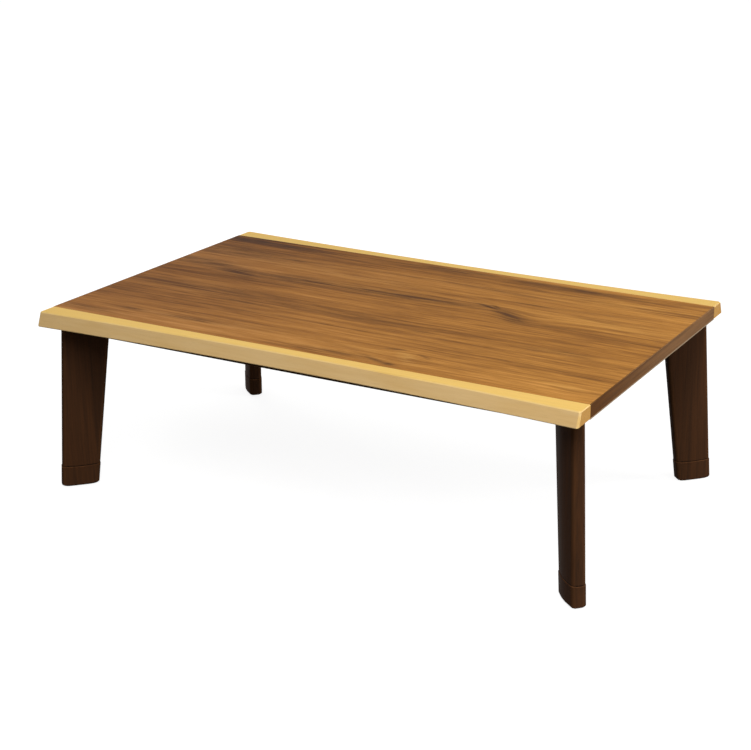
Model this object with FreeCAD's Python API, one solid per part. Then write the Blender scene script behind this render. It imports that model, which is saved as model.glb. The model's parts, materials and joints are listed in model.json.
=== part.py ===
import FreeCAD, Part
import math
import os

# Kotatsu table in millimetres. +X runs along the long side, the front faces -Y and +Z is up.
# The origin is on the floor below the middle of the table.
# Each corner has its own axes: u points outwards along the corner's diagonal, v lies across it.

Vec = FreeCAD.Vector
UP = Vec(0, 0, 1)
ALONG_X = Vec(1, 0, 0)
ALONG_Y = Vec(0, 1, 0)

# General
table_height = 440.0
cut_overrun = 5.0
level_tolerance = 0.001

# Table top
top_length = 1350.0
top_depth = 824.0
top_thickness = 32.0
top_panel_thickness = 3.5
bottom_panel_thickness = 3.0
end_band_thickness = 2.0
end_band_round = 0.8
strip_end_width = 47.0
strip_hollow = 18.0
strip_flare = 13.0
strip_corner_chamfer = 4.5
strip_edge_chamfer = 2.0
joint_chamfer = 0.5
tongue_height = 6.0
tongue_depth = 8.0
tongue_clearance = 0.2
tongue_end_stop = 20.0

# Under-frame
frame_pad_thickness = 2.0
frame_pad_length = 40.0
frame_pad_width = 12.0
frame_pad_place_share = 0.8
apron_setback = 92.0
apron_height = 40.0
apron_thickness = 20.0
apron_edge_round = 2.0
corner_block_depth = 40.0
corner_block_drop = 2.0

# Legs
foot_inset_x = 30.0
foot_inset_y = 53.0
foot_length = 85.0
leg_thickness = 39.0
leg_bow_radius = 150.0
leg_bow_half_width = 20.0
leg_top_length = 110.0
leg_top_shift = 43.0
leg_corner_radius = 12.0
leg_cheek_setback = 3.0
leg_scribe_depth = 6.0

# Extension feet with their tenons and felt pads
foot_height = 51.0
foot_proud = 1.0
foot_seam_bevel = 1.8
foot_bottom_bevel = 3.5
tenon_length = 36.0
tenon_thickness = 11.0
tenon_depth = 24.0
tenon_reach = 24.0
tenon_clearance = 0.2
tenon_end_clearance = 1.0
tenon_end_bevel = 1.5
felt_thickness = 2.0
felt_inset = 7.0
felt_corner_chamfer = 6.0

# Leg bolts and their square washers
leg_bolt_radius = 4.0
leg_bolt_bite = 32.0
leg_bolt_clearance = 0.1
leg_bolt_head_radius = 7.5
leg_bolt_head_height = 5.3
leg_washer_size = 20.0
leg_washer_thickness = 2.0

# Heater bearers and rails, housed in the pieces that carry them
bearer_width = 20.0
bearer_height = 36.0
bearer_housing_depth = 6.0

# Heater housing and flange
housing_gap = 3.0
housing_height = 36.0
housing_wall = 1.2
housing_corner_radius = 14.0
flange_lap = 6.0
flange_thickness = 2.0
flange_corner_radius = 18.0

# Heater bezel, with channels inside, posts for its screws, a rebate for the flange and a lip for the guard
bezel_lap = 18.0
bezel_height = 20.0
bezel_wall = 2.5
bezel_band = 28.0
bezel_lip = 4.0
bezel_corner_radius = 18.0
bezel_inner_radius = 10.0
bezel_edge_chamfer = 3.0
bezel_post_size = 9.0
bezel_rebate_clearance = 0.3

# Heater screws
heater_screw_inset = 7.0
heater_screw_place_share = 0.62
heater_screw_radius = 2.0
heater_screw_bite = 14.0
heater_screw_clearance = 0.1
heater_screw_head_radius = 4.0
heater_screw_head_height = 2.8

# Guard grille
guard_rim_size = 3.0
guard_rim_clearance = 0.2
guard_wire_radius = 1.3
guard_wire_sides = 6
guard_bar_size = 2.4
guard_wire_count = 17
guard_bar_share = 0.5

# Reflector, sized by the tubes below it
reflector_sheet = 0.8
reflector_edge_gap = 0.5
reflector_end_room = 15.0
reflector_slope_run = 18.0
reflector_rim_width = 15.0
reflector_rise = 28.0
reflector_corner_radius = 12.0
reflector_eye_radius = 49.0

# Quartz tubes with their elements and holders
tube_radius = 5.5
tube_wall = 1.2
tube_length = 190.0
tube_offset = 80.0
tube_drop = 14.0
element_clearance = 0.3
element_inset = 7.0
holder_thickness = 12.0
holder_width = 18.0
holder_below_tube = 8.0
holder_seat_depth = 6.0
holder_clearance = 0.2

# Fan
motor_radius = 16.0
motor_height = 18.0
bracket_length = 70.0
bracket_width = 20.0
bracket_thickness = 1.5
shaft_radius = 1.5
shaft_clearance = 0.03
shaft_entry = 14.0
shaft_tail = 1.0
rotor_gap = 2.0
rotor_height = 10.0
rotor_hub_radius = 13.0
rotor_radius = 44.0
blade_count = 5
blade_thickness = 1.2
blade_chord = 24.0
blade_camber = 2.5
blade_fold_share = 0.4
blade_pitch = 26.0
blade_root_sink = 6.0

# Thermostat and terminal block
thermostat_radius = 7.0
thermostat_height = 6.0
thermostat_place = 75.0
terminal_length = 34.0
terminal_width = 14.0
terminal_height = 8.0
terminal_wall_gap = 2.0

# Power inlet
inlet_width = 26.0
inlet_height = 13.0
inlet_wall = 1.5
inlet_floor = 3.0
inlet_channel_gap = 1.0
inlet_pin_width = 6.0
inlet_pin_thickness = 1.6
inlet_pin_length = 14.0
inlet_pin_spacing = 10.0

# Levels and lines that several pieces share
board_bottom = table_height - top_thickness
frame_top = board_bottom - frame_pad_thickness
frame_bottom = frame_top - apron_height
bearer_bottom = frame_bottom
bearer_top = bearer_bottom + bearer_height
flange_bottom = bearer_bottom - flange_thickness
bezel_bottom = bearer_bottom - bezel_height
core_bottom = board_bottom + bottom_panel_thickness
core_top = table_height - top_panel_thickness
half_length = top_length / 2
half_depth = top_depth / 2
panel_half_depth = half_depth - strip_end_width
foot_x = half_length - foot_inset_x
foot_y = half_depth - foot_inset_y
apron_face_y = half_depth - apron_setback
apron_face_x = foot_x - (foot_y - apron_face_y)
apron_inner_x = apron_face_x - apron_thickness
apron_inner_y = apron_face_y - apron_thickness
crown_half = tube_length / 2 + reflector_end_room
mouth_half = crown_half + reflector_slope_run
housing_half = mouth_half + reflector_rim_width
bay_half = housing_half + housing_gap
housing_top = bearer_bottom + housing_height
housing_ceiling = housing_top - housing_wall
flange_half = bay_half + flange_lap
bezel_half = bay_half + bezel_lap
bezel_inner_half = bezel_half - bezel_band
heater_screw_line = bezel_half - heater_screw_inset
heater_screw_place = bay_half * heater_screw_place_share
heater_screw_length = bearer_bottom + heater_screw_bite - bezel_bottom
reflector_plate = flange_bottom + reflector_rise
tube_level = reflector_plate - tube_drop
motor_top = housing_ceiling - bracket_thickness
motor_bottom = motor_top - motor_height
rotor_top = motor_bottom - rotor_gap
rotor_bottom = rotor_top - rotor_height
inlet_bottom = bezel_bottom + bezel_wall + (flange_bottom - bezel_bottom - bezel_wall - inlet_height) / 2
inlet_back = bezel_inner_half + bezel_wall + inlet_channel_gap
root_half = math.sqrt(1 / 2)

corners = {
    "front_left": (-1, -1),
    "front_right": (1, -1),
    "back_left": (-1, 1),
    "back_right": (1, 1),
}


# General shapes

def block(low, high):
    """A box between two opposite corners."""
    size = high - low
    return Part.makeBox(size.x, size.y, size.z, low)


def rod(start, direction, length, radius):
    """A round bar from start along direction."""
    return Part.makeCylinder(radius, length, start, direction)


def tube(start, direction, length, radius, bore):
    """A round bar with a hole right through it."""
    return rod(start, direction, length, radius).cut(rod(start, direction, length, bore))


def prism(points, bottom, height):
    """A straight-sided solid over a plan outline."""
    ring = [Vec(x, y, bottom) for x, y in points]
    return Part.Face(Part.makePolygon(ring + ring[:1])).extrude(UP * height)


def upright_edges(shape):
    """The vertical edges of a shape."""
    found = []
    for edge in shape.Edges:
        first, last = edge.Vertexes[0].Point, edge.Vertexes[-1].Point
        if abs(first.x - last.x) < level_tolerance and abs(first.y - last.y) < level_tolerance:
            found.append(edge)
    return found


def edges_at(shape, level):
    """The edges that lie at one height."""
    found = []
    for edge in shape.Edges:
        box = edge.BoundBox
        if abs(box.ZMin - level) < level_tolerance and abs(box.ZMax - level) < level_tolerance:
            found.append(edge)
    return found


def rounded_plate(half, radius, bottom, height):
    """A square plate about the Z axis with rounded upright corners."""
    plate = block(Vec(-half, -half, bottom), Vec(half, half, bottom + height))
    return plate.makeFillet(radius, upright_edges(plate))


def turned(shape, degrees):
    """A copy turned about the Z axis."""
    copy = shape.copy()
    copy.rotate(Vec(0, 0, 0), UP, degrees)
    return copy


def frustum(half_low, half_high, bottom, height):
    """A square pyramid's lower part about the Z axis."""
    solid = Part.makeWedge(-half_low, 0, -half_low, -half_high, -half_high,
                           half_low, height, half_low, half_high, half_high)
    solid.rotate(Vec(0, 0, 0), ALONG_X, 90)
    solid.translate(UP * bottom)
    return solid


def polygon_bar(start, direction, side_axis, length, radius, sides):
    """A straight bar with a regular polygon for its section, one corner towards side_axis."""
    third = direction.cross(side_axis)
    ring = []
    for step in range(sides):
        angle = 2 * math.pi * step / sides
        ring.append(start + side_axis * (radius * math.cos(angle)) + third * (radius * math.sin(angle)))
    return Part.Face(Part.makePolygon(ring + ring[:1])).extrude(direction * length)


def hexagon_bolt(seat, direction, side_axis, head_radius, head_height, radius, length):
    """A bolt whose hexagon head bears on the point seat, its shank along direction."""
    head = polygon_bar(seat, direction * -1, side_axis, head_height, head_radius, 6)
    return head.fuse(rod(seat, direction, length, radius)).removeSplitter()


def bevelled(body, first, second, corner, run):
    """Take off the corner of a section by the plane through first and second, along run."""
    middle = (first + second) / 2
    ring = [first * 2 - second, second * 2 - first, corner * 3 - middle * 2]
    return body.cut(Part.Face(Part.makePolygon(ring + ring[:1])).extrude(run))


def save(name, shapes):
    """One file for a piece, or for a group of like pieces."""
    if isinstance(shapes, list):
        shapes = Part.makeCompound(shapes)
    shapes.exportStep("parts/" + name + ".step")


# Corner axes

def at_corner(shape, signs):
    """A shape drawn on a corner's own axes, set in its place on the table."""
    angle = math.degrees(math.atan2(signs[1], signs[0]))
    placed = turned(shape, angle)
    placed.translate(Vec(signs[0] * foot_x, signs[1] * foot_y, 0))
    return placed


def leg_edge(level, way):
    """The u place of the leg's outer edge (way 1) or inner edge (way -1) at a height."""
    share = level / frame_top
    return -leg_top_shift * share + way * (foot_length + (leg_top_length - foot_length) * share) / 2


leg_seat = leg_edge(frame_bottom, -1)
apron_inner_line = (foot_y - apron_inner_y) / root_half
block_back = leg_seat - corner_block_depth
block_shoulder = -apron_inner_line - leg_thickness / 2
leg_bow_slope = math.asin(leg_bow_half_width / leg_bow_radius)
leg_bow_rise = leg_bow_radius * (1 - math.cos(leg_bow_slope))
cheek_end = -(foot_y - apron_face_y) / root_half - leg_thickness / 2 - leg_cheek_setback
leg_bolt_level = (frame_top + frame_bottom) / 2
tenon_middle = (leg_edge(foot_height, 1) + leg_edge(foot_height, -1)) / 2


def leg_bow(proud):
    """A long bar along the leg whose broad faces are bowed in the middle and slope away as flats."""
    side = leg_thickness / 2 + proud
    shoulder = side - leg_bow_rise
    far = leg_top_length
    thin = shoulder - (far - leg_bow_half_width) * math.tan(leg_bow_slope)
    outline = []
    for way in (1, -1):
        near_end = Vec(way * leg_bow_half_width, way * shoulder, 0)
        far_end = Vec(-way * leg_bow_half_width, way * shoulder, 0)
        outline.append(Part.LineSegment(Vec(way * far, way * thin, 0), near_end).toShape())
        outline.append(Part.Arc(near_end, Vec(0, way * side, 0), far_end).toShape())
        outline.append(Part.LineSegment(far_end, Vec(-way * far, way * thin, 0)).toShape())
        outline.append(Part.LineSegment(Vec(-way * far, way * thin, 0), Vec(-way * far, -way * thin, 0)).toShape())
    bar = Part.Face(Part.Wire(outline)).extrude(UP * (frame_top + 2 * far))
    bar.translate(UP * -far)
    bar.rotate(Vec(0, 0, 0), ALONG_Y, -math.degrees(math.atan2(leg_top_shift, frame_top)))
    return bar


def leg_blank(low, high, proud):
    """The tapered leg between two heights, grown by proud: bowed broad faces, rounded long edges."""
    side = leg_thickness / 2 + proud
    ring = [
        Vec(leg_edge(low, 1) + proud, -side, low),
        Vec(leg_edge(high, 1) + proud, -side, high),
        Vec(leg_edge(high, -1) - proud, -side, high),
        Vec(leg_edge(low, -1) - proud, -side, low),
    ]
    blank = Part.Face(Part.makePolygon(ring + ring[:1])).extrude(ALONG_Y * (2 * side))
    blank = blank.common(leg_bow(proud))
    flank = side - leg_bow_rise - level_tolerance
    long_edges = []
    for edge in blank.Edges:
        if edge.BoundBox.ZLength > (high - low) / 2 and abs(edge.CenterOfMass.y) < flank:
            long_edges.append(edge)
    return blank.makeFillet(leg_corner_radius, long_edges)


def leg_cheeks(low, back):
    """The square-sided part of the leg's head that the apron ends lie against, from the place back outwards."""
    side = leg_thickness / 2
    return block(Vec(back, -side, low), Vec(cheek_end, side, frame_top))


# Table top

def edge_strip():
    """The back strip: hollow in plan, its face sloping outwards towards the bottom, with a tongue."""
    end = half_depth + strip_flare
    shoulder = half_length - strip_corner_chamfer
    inner = panel_half_depth

    def place(x, y):
        return Vec(x, y, board_bottom)

    corner_points = [
        place(shoulder, end), place(half_length, end - strip_corner_chamfer), place(half_length, inner),
        place(-half_length, inner), place(-half_length, end - strip_corner_chamfer), place(-shoulder, end),
    ]
    sides = [Part.Arc(place(-shoulder, end), place(0, end - strip_hollow), place(shoulder, end)).toShape()]
    for first, second in zip(corner_points, corner_points[1:]):
        sides.append(Part.LineSegment(first, second).toShape())
    strip = Part.Face(Part.Wire(sides)).extrude(Vec(0, -strip_flare, top_thickness))
    far = half_length + cut_overrun
    strip = strip.cut(block(
        Vec(-far, inner - strip_flare - cut_overrun, board_bottom - cut_overrun),
        Vec(far, inner, table_height + cut_overrun),
    ))
    rims = []
    for edge in edges_at(strip, table_height) + edges_at(strip, board_bottom):
        if edge.BoundBox.YMax > panel_half_depth + level_tolerance:
            rims.append(edge)
    strip = strip.makeChamfer(strip_edge_chamfer, rims)
    joint = []
    for edge in edges_at(strip, table_height):
        if edge.BoundBox.YMax < panel_half_depth + level_tolerance:
            joint.append(edge)
    strip = strip.makeChamfer(joint_chamfer, joint)
    middle = (core_bottom + core_top) / 2
    tongue = block(
        Vec(-half_length + tongue_end_stop, panel_half_depth - tongue_depth, middle - tongue_height / 2),
        Vec(half_length - tongue_end_stop, panel_half_depth, middle + tongue_height / 2),
    )
    return strip.fuse(tongue).removeSplitter()


def top_panel():
    """The veneered skin between the strips and the end bands."""
    x = half_length - end_band_thickness
    panel = block(Vec(-x, -panel_half_depth, core_top), Vec(x, panel_half_depth, table_height))
    joint = []
    for edge in edges_at(panel, table_height):
        if edge.BoundBox.XLength > half_length:
            joint.append(edge)
    return panel.makeChamfer(joint_chamfer, joint)


def core_board():
    """The core, grooved along both long edges for the tongues."""
    x = half_length - end_band_thickness
    core = block(Vec(-x, -panel_half_depth, core_bottom), Vec(x, panel_half_depth, core_top))
    middle = (core_bottom + core_top) / 2
    half_groove = tongue_height / 2 + tongue_clearance
    depth = tongue_depth + tongue_clearance
    groove = block(
        Vec(-x - cut_overrun, panel_half_depth - depth, middle - half_groove),
        Vec(x + cut_overrun, panel_half_depth + cut_overrun, middle + half_groove),
    )
    return core.cut(groove).cut(turned(groove, 180))


def bottom_panel():
    """The backing skin, whose edge shows as a thin line below the end bands."""
    return block(
        Vec(-half_length, -panel_half_depth, board_bottom),
        Vec(half_length, panel_half_depth, core_bottom),
    )


def end_band():
    """The right-hand walnut band, with its upper edge eased."""
    band = block(
        Vec(half_length - end_band_thickness, -panel_half_depth, core_bottom),
        Vec(half_length, panel_half_depth, table_height),
    )
    eased = []
    for edge in edges_at(band, table_height):
        if edge.BoundBox.XMin > half_length - level_tolerance:
            eased.append(edge)
    return band.makeFillet(end_band_round, eased)


def make_table_top():
    """The board: skins, core, bands and strips."""
    strip = edge_strip()
    band = end_band()
    save("top_panel", top_panel())
    save("core_board", core_board())
    save("bottom_panel", bottom_panel())
    save("back_edge_strip", strip)
    save("front_edge_strip", turned(strip, 180))
    save("right_end_band", band)
    save("left_end_band", turned(band, 180))


# Under-frame

def apron(face, run):
    """The back apron of a frame: outer face at Y = face, ends cut to lie against the legs."""
    inner = run - apron_thickness
    rail = prism(
        [(-run, face), (run, face), (inner, face - apron_thickness), (-inner, face - apron_thickness)],
        frame_bottom,
        apron_height,
    )
    lower = []
    for edge in edges_at(rail, frame_bottom):
        if edge.BoundBox.YLength < level_tolerance:
            lower.append(edge)
    return rail.makeFillet(apron_edge_round, lower)


def corner_block():
    """The block behind a leg, glued between the apron ends and bored for the bolt, on corner axes."""
    side = leg_thickness / 2
    back = -apron_inner_line - block_back
    body = prism(
        [
            (leg_seat, -side), (leg_seat, side), (block_shoulder, side),
            (block_back, back), (block_back, -back), (block_shoulder, -side),
        ],
        frame_bottom + corner_block_drop,
        apron_height - corner_block_drop,
    )
    start = Vec(block_back - cut_overrun, 0, leg_bolt_level)
    length = corner_block_depth + cut_overrun + cut_overrun
    return body.cut(rod(start, ALONG_X, length, leg_bolt_radius + leg_bolt_clearance))


def leg_washer():
    """The square washer between the bolt's head and the block, on corner axes."""
    half = leg_washer_size / 2
    low = Vec(block_back - leg_washer_thickness, -half, leg_bolt_level - half)
    plate = block(low, Vec(block_back, half, leg_bolt_level + half))
    return plate.cut(rod(Vec(low.x, 0, leg_bolt_level), ALONG_X, leg_washer_thickness,
                         leg_bolt_radius + leg_bolt_clearance))


def leg_bolt():
    """The bolt from the back of the block into the leg, on corner axes."""
    seat = Vec(block_back - leg_washer_thickness, 0, leg_bolt_level)
    length = leg_washer_thickness + corner_block_depth + leg_bolt_bite
    return hexagon_bolt(seat, ALONG_X, UP, leg_bolt_head_radius, leg_bolt_head_height,
                        leg_bolt_radius, length)


def tenon(clearance, end_clearance):
    """The foot's tenon on corner axes, or the space for it."""
    half_length_u = tenon_length / 2 + clearance
    half_width = tenon_thickness / 2 + clearance
    return block(
        Vec(tenon_middle - half_length_u, -half_width, foot_height - tenon_depth),
        Vec(tenon_middle + half_length_u, half_width, foot_height + tenon_reach + end_clearance),
    )


def leg():
    """A tapered plate leg with a seat for its block, bored for the bolt and mortised for the foot."""
    body = leg_blank(foot_height, frame_top, 0)
    planed = block(
        Vec(leg_seat - leg_top_length, -leg_thickness, frame_bottom),
        Vec(leg_seat, leg_thickness, frame_top + cut_overrun),
    )
    start = Vec(leg_seat - cut_overrun, 0, leg_bolt_level)
    bore = rod(start, ALONG_X, leg_bolt_bite + leg_bolt_clearance + cut_overrun,
               leg_bolt_radius + leg_bolt_clearance)
    body = body.cut(planed).fuse(leg_cheeks(frame_bottom, leg_seat)).removeSplitter()
    return body.cut(bore).cut(tenon(tenon_clearance, tenon_end_clearance))


def outline_points(level):
    """Points on a foot's outline at a height, each with the way outwards there as an angle."""
    side = leg_thickness / 2 + foot_proud
    middle = -leg_top_shift * level / frame_top
    flank_angle = math.pi / 2 - leg_bow_slope
    found = []
    for way_u in (1, -1):
        end = leg_edge(level, way_u) + way_u * foot_proud
        found.append((end, 0, math.atan2(0, way_u)))
        run = abs(end - middle) - leg_corner_radius
        flank = side - leg_bow_rise - (run - leg_bow_half_width) * math.tan(leg_bow_slope)
        round_v = flank - leg_corner_radius / math.cos(leg_bow_slope)
        for way_v in (1, -1):
            for angle in (flank_angle, flank_angle / 2):
                out_u, out_v = way_u * math.cos(angle), way_v * math.sin(angle)
                u = middle + way_u * run + leg_corner_radius * out_u
                found.append((u, way_v * round_v + leg_corner_radius * out_v, math.atan2(out_v, out_u)))
    for way_v in (1, -1):
        found.append((middle, way_v * side, way_v * math.pi / 2))
    return found


def eased_end(body, level, size, turn):
    """Bevel a foot's end at a height all round; turn is 1 for the bottom and -1 for the top."""
    inner_level = level + turn * size
    far = leg_top_length
    for u, v, angle in outline_points(inner_level):
        out = Vec(math.cos(angle), math.sin(angle), 0)
        along = UP.cross(out)
        start = Vec(u, v, level) - along * far
        body = bevelled(body, start - out * size, start + UP * (turn * size), start, along * (2 * far))
    return body


def extension_foot():
    """The separate foot below the seam, eased at both ends and mortised for its tenon."""
    body = leg_blank(felt_thickness, foot_height, foot_proud)
    body = eased_end(body, felt_thickness, foot_bottom_bevel, 1)
    body = eased_end(body, foot_height, foot_seam_bevel, -1)
    return body.cut(tenon(0, 0))


def foot_tenon():
    """The tenon glued into the foot, its upper end eased to enter the leg."""
    body = tenon(0, 0)
    return body.makeChamfer(tenon_end_bevel, edges_at(body, foot_height + tenon_reach))


def felt_pad():
    """The felt under a foot."""
    half_width = leg_thickness / 2 + foot_proud - felt_inset
    outer = leg_edge(felt_thickness, 1) + foot_proud - felt_inset
    inner = leg_edge(felt_thickness, -1) - foot_proud + felt_inset
    pad = block(Vec(inner, -half_width, 0), Vec(outer, half_width, felt_thickness))
    return pad.makeChamfer(felt_corner_chamfer, upright_edges(pad))


def bearer():
    """The right-hand bearer, housed in both long aprons."""
    end = apron_inner_y + bearer_housing_depth
    return block(Vec(bay_half, -end, bearer_bottom), Vec(bay_half + bearer_width, end, bearer_top))


def heater_rail():
    """The back rail, housed in both bearers."""
    end = bay_half + bearer_housing_depth
    return block(Vec(-end, bay_half, bearer_bottom), Vec(end, bay_half + bearer_width, bearer_top))


def frame_pads():
    """Rubber pads on the aprons, which the table top lies on."""
    pads = []
    line_y = apron_face_y - apron_thickness / 2
    line_x = apron_face_x - apron_thickness / 2
    for x in (-apron_inner_x * frame_pad_place_share, 0, apron_inner_x * frame_pad_place_share):
        for y in (-line_y, line_y):
            pads.append(block(
                Vec(x - frame_pad_length / 2, y - frame_pad_width / 2, frame_top),
                Vec(x + frame_pad_length / 2, y + frame_pad_width / 2, board_bottom),
            ))
    for x in (-line_x, line_x):
        pads.append(block(
            Vec(x - frame_pad_width / 2, -frame_pad_length / 2, frame_top),
            Vec(x + frame_pad_width / 2, frame_pad_length / 2, board_bottom),
        ))
    return pads


def make_frame():
    """The aprons with their housings, the bearers, the rails and the pads."""
    reach = (leg_thickness / 2 - leg_scribe_depth) / root_half
    long_run = foot_x + apron_face_y - foot_y - reach
    short_run = foot_y + apron_face_x - foot_x - reach
    long_apron = apron(apron_face_y, long_run)
    short_apron = apron(apron_face_x, short_run)
    back_rail = heater_rail()
    front_rail = turned(back_rail, 180)
    rails = Part.makeCompound([back_rail, front_rail] + heater_screw_spaces())
    right_bearer = bearer()
    left_bearer = turned(right_bearer, 180)
    bearers = Part.makeCompound([right_bearer, left_bearer])
    leg_space = leg_blank(foot_height, frame_top, 0).fuse(leg_cheeks(foot_height, block_back))
    leg_spaces = Part.makeCompound([at_corner(leg_space, signs) for signs in corners.values()])
    save("back_apron", long_apron.cut(bearers).cut(leg_spaces))
    save("front_apron", turned(long_apron, 180).cut(bearers).cut(leg_spaces))
    save("left_apron", turned(short_apron, 90).cut(leg_spaces))
    save("right_apron", turned(short_apron, -90).cut(leg_spaces))
    save("right_heater_bearer", right_bearer.cut(rails))
    save("left_heater_bearer", left_bearer.cut(rails))
    save("back_heater_rail", back_rail)
    save("front_heater_rail", front_rail)
    save("frame_pads", frame_pads())


def make_corners():
    """Blocks, legs, feet with tenons and felt, and the bolts with their washers."""
    pieces = {
        "corner_block": corner_block(),
        "leg": leg(),
        "extension_foot": extension_foot(),
        "foot_tenon": foot_tenon(),
        "felt_pad": felt_pad(),
    }
    plain_bolt, plain_washer = leg_bolt(), leg_washer()
    bolts, washers = [], []
    for corner_name, signs in corners.items():
        for piece_name, piece in pieces.items():
            save(corner_name + "_" + piece_name, at_corner(piece, signs))
        bolts.append(at_corner(plain_bolt, signs))
        washers.append(at_corner(plain_washer, signs))
    save("leg_bolts", bolts)
    save("leg_washers", washers)


# Heater

def heater_screw_seats():
    """Where the heads of the four heater screws bear on the bezel."""
    seats = []
    for x in (-heater_screw_line, heater_screw_line):
        for y in (-heater_screw_place, heater_screw_place):
            seats.append(Vec(x, y, bezel_bottom))
    return seats


def heater_screw_spaces():
    """The holes for the shanks of the heater screws."""
    spaces = []
    for seat in heater_screw_seats():
        length = heater_screw_length + heater_screw_clearance + cut_overrun
        spaces.append(rod(seat - UP * cut_overrun, UP, length, heater_screw_radius + heater_screw_clearance))
    return spaces


def heater_housing():
    """The pressed pan, open below, with an outward flange that the bezel clamps."""
    pan = rounded_plate(housing_half, housing_corner_radius, flange_bottom, housing_height + flange_thickness)
    flange = rounded_plate(flange_half, flange_corner_radius, flange_bottom, flange_thickness)
    hollow = rounded_plate(housing_half - housing_wall, housing_corner_radius - housing_wall,
                           flange_bottom - cut_overrun, housing_ceiling - flange_bottom + cut_overrun)
    return pan.fuse(flange).cut(hollow).removeSplitter()


def heater_bezel():
    """The moulded frame that clamps the flange: channels with posts, a lip for the guard, an inlet window."""
    outer = rounded_plate(bezel_half, bezel_corner_radius, bezel_bottom, bezel_height)
    outer = outer.makeChamfer(bezel_edge_chamfer, edges_at(outer, bezel_bottom))
    rebate = rounded_plate(flange_half + bezel_rebate_clearance, flange_corner_radius, flange_bottom,
                           flange_thickness + cut_overrun)
    well = rounded_plate(bezel_inner_half, bezel_inner_radius, bezel_bottom + bezel_wall, bezel_height)
    mouth = rounded_plate(bezel_inner_half - bezel_lip, bezel_inner_radius, bezel_bottom - cut_overrun,
                          bezel_height)
    channel = block(
        Vec(bezel_inner_half + bezel_wall, -bezel_inner_half, bezel_bottom + bezel_wall),
        Vec(bezel_half - bezel_wall, bezel_inner_half, bearer_bottom + cut_overrun),
    )
    posts = []
    for seat in heater_screw_seats():
        half = bezel_post_size / 2
        posts.append(block(
            Vec(seat.x - half, seat.y - half, bezel_bottom),
            Vec(seat.x + half, seat.y + half, bearer_bottom),
        ))
    channels = Part.makeCompound([turned(channel, 90 * step) for step in range(4)])
    channels = channels.cut(Part.makeCompound(posts))
    window = block(
        Vec(bezel_half - bezel_wall - cut_overrun, -inlet_width / 2, inlet_bottom),
        Vec(bezel_half + cut_overrun, inlet_width / 2, inlet_bottom + inlet_height),
    )
    frame = outer.cut(well).cut(mouth).cut(channels).cut(rebate).cut(window)
    return frame.cut(Part.makeCompound(heater_screw_spaces())).removeSplitter()


def guard_parts():
    """The grille on the bezel's lip: a rim, long wires welded between its sides, and two bars on them."""
    half = bezel_inner_half - guard_rim_clearance
    bottom = bezel_bottom + bezel_wall
    level = bottom + guard_rim_size / 2
    reach = half - guard_rim_size
    rim = rounded_plate(half, bezel_inner_radius - guard_rim_clearance, bottom, guard_rim_size)
    opening = rounded_plate(reach, bezel_inner_radius - guard_rim_clearance - guard_rim_size,
                            bottom, guard_rim_size)
    pitch = 2 * reach / (guard_wire_count + 1)
    wires, bars = [], []
    for step in range(1, guard_wire_count + 1):
        start = Vec(-reach, step * pitch - reach, level)
        wires.append(polygon_bar(start, ALONG_X, ALONG_Y, 2 * reach, guard_wire_radius, guard_wire_sides))
    bar_bottom = level + guard_wire_radius * math.cos(math.pi / guard_wire_sides)
    for side in (-1, 1):
        middle = side * reach * guard_bar_share
        bars.append(block(
            Vec(middle - guard_bar_size / 2, -reach, bar_bottom),
            Vec(middle + guard_bar_size / 2, reach, bar_bottom + guard_bar_size),
        ))
    return rim.cut(opening), wires, bars


def reflector():
    """The bright dish of folded sheet: a lip on the bezel's wall, four slopes and a crown with an eye."""
    lip_half = housing_half - housing_wall - reflector_edge_gap
    height = reflector_rise + reflector_sheet
    lip = rounded_plate(lip_half, reflector_corner_radius, flange_bottom, reflector_sheet)
    outside = frustum(mouth_half, crown_half, flange_bottom, height)
    inside = frustum(mouth_half - reflector_sheet, crown_half - reflector_sheet,
                     flange_bottom - reflector_sheet, height)
    eye = rod(Vec(0, 0, flange_bottom), UP, height + cut_overrun, reflector_eye_radius)
    return lip.fuse(outside).cut(inside).cut(eye).removeSplitter()


def tube_parts():
    """Quartz tubes, elements and holders."""
    tubes, elements, holders = [], [], []
    inset = tube_length / 2 - holder_seat_depth
    bore_radius = tube_radius - tube_wall
    slot_half = tube_radius + holder_clearance
    element_start = element_inset - tube_length / 2
    for side in (-1, 1):
        y = side * tube_offset
        tubes.append(tube(Vec(-tube_length / 2, y, tube_level), ALONG_X, tube_length,
                          tube_radius, bore_radius))
        elements.append(rod(Vec(element_start, y, tube_level), ALONG_X, -2 * element_start,
                            bore_radius - element_clearance))
        body = block(
            Vec(inset, y - holder_width / 2, tube_level - holder_below_tube),
            Vec(inset + holder_thickness, y + holder_width / 2, reflector_plate),
        )
        seat = rod(Vec(inset - cut_overrun, y, tube_level), ALONG_X,
                   holder_seat_depth + cut_overrun, slot_half)
        entry = block(
            Vec(inset - cut_overrun, y - slot_half, tube_level - holder_below_tube - cut_overrun),
            Vec(inset + holder_seat_depth, y + slot_half, tube_level),
        )
        holder = body.cut(seat.fuse(entry))
        holders += [holder, holder.mirror(Vec(0, 0, 0), ALONG_X)]
    return tubes, elements, holders


def fan_motor():
    """The motor can with the bearing bore for its shaft."""
    can = rod(Vec(0, 0, motor_bottom), UP, motor_height, motor_radius)
    bore = rod(Vec(0, 0, motor_bottom - cut_overrun), UP, shaft_entry + cut_overrun + shaft_clearance,
               shaft_radius + shaft_clearance)
    return can.cut(bore)


def motor_bracket():
    """The strap between motor and housing."""
    return block(
        Vec(-bracket_length / 2, -bracket_width / 2, motor_top),
        Vec(bracket_length / 2, bracket_width / 2, housing_ceiling),
    )


def fan_shaft():
    """The shaft, from the rotor up into the motor."""
    bottom = rotor_bottom - shaft_tail
    return rod(Vec(0, 0, bottom), UP, motor_bottom + shaft_entry - bottom, shaft_radius)


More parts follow.
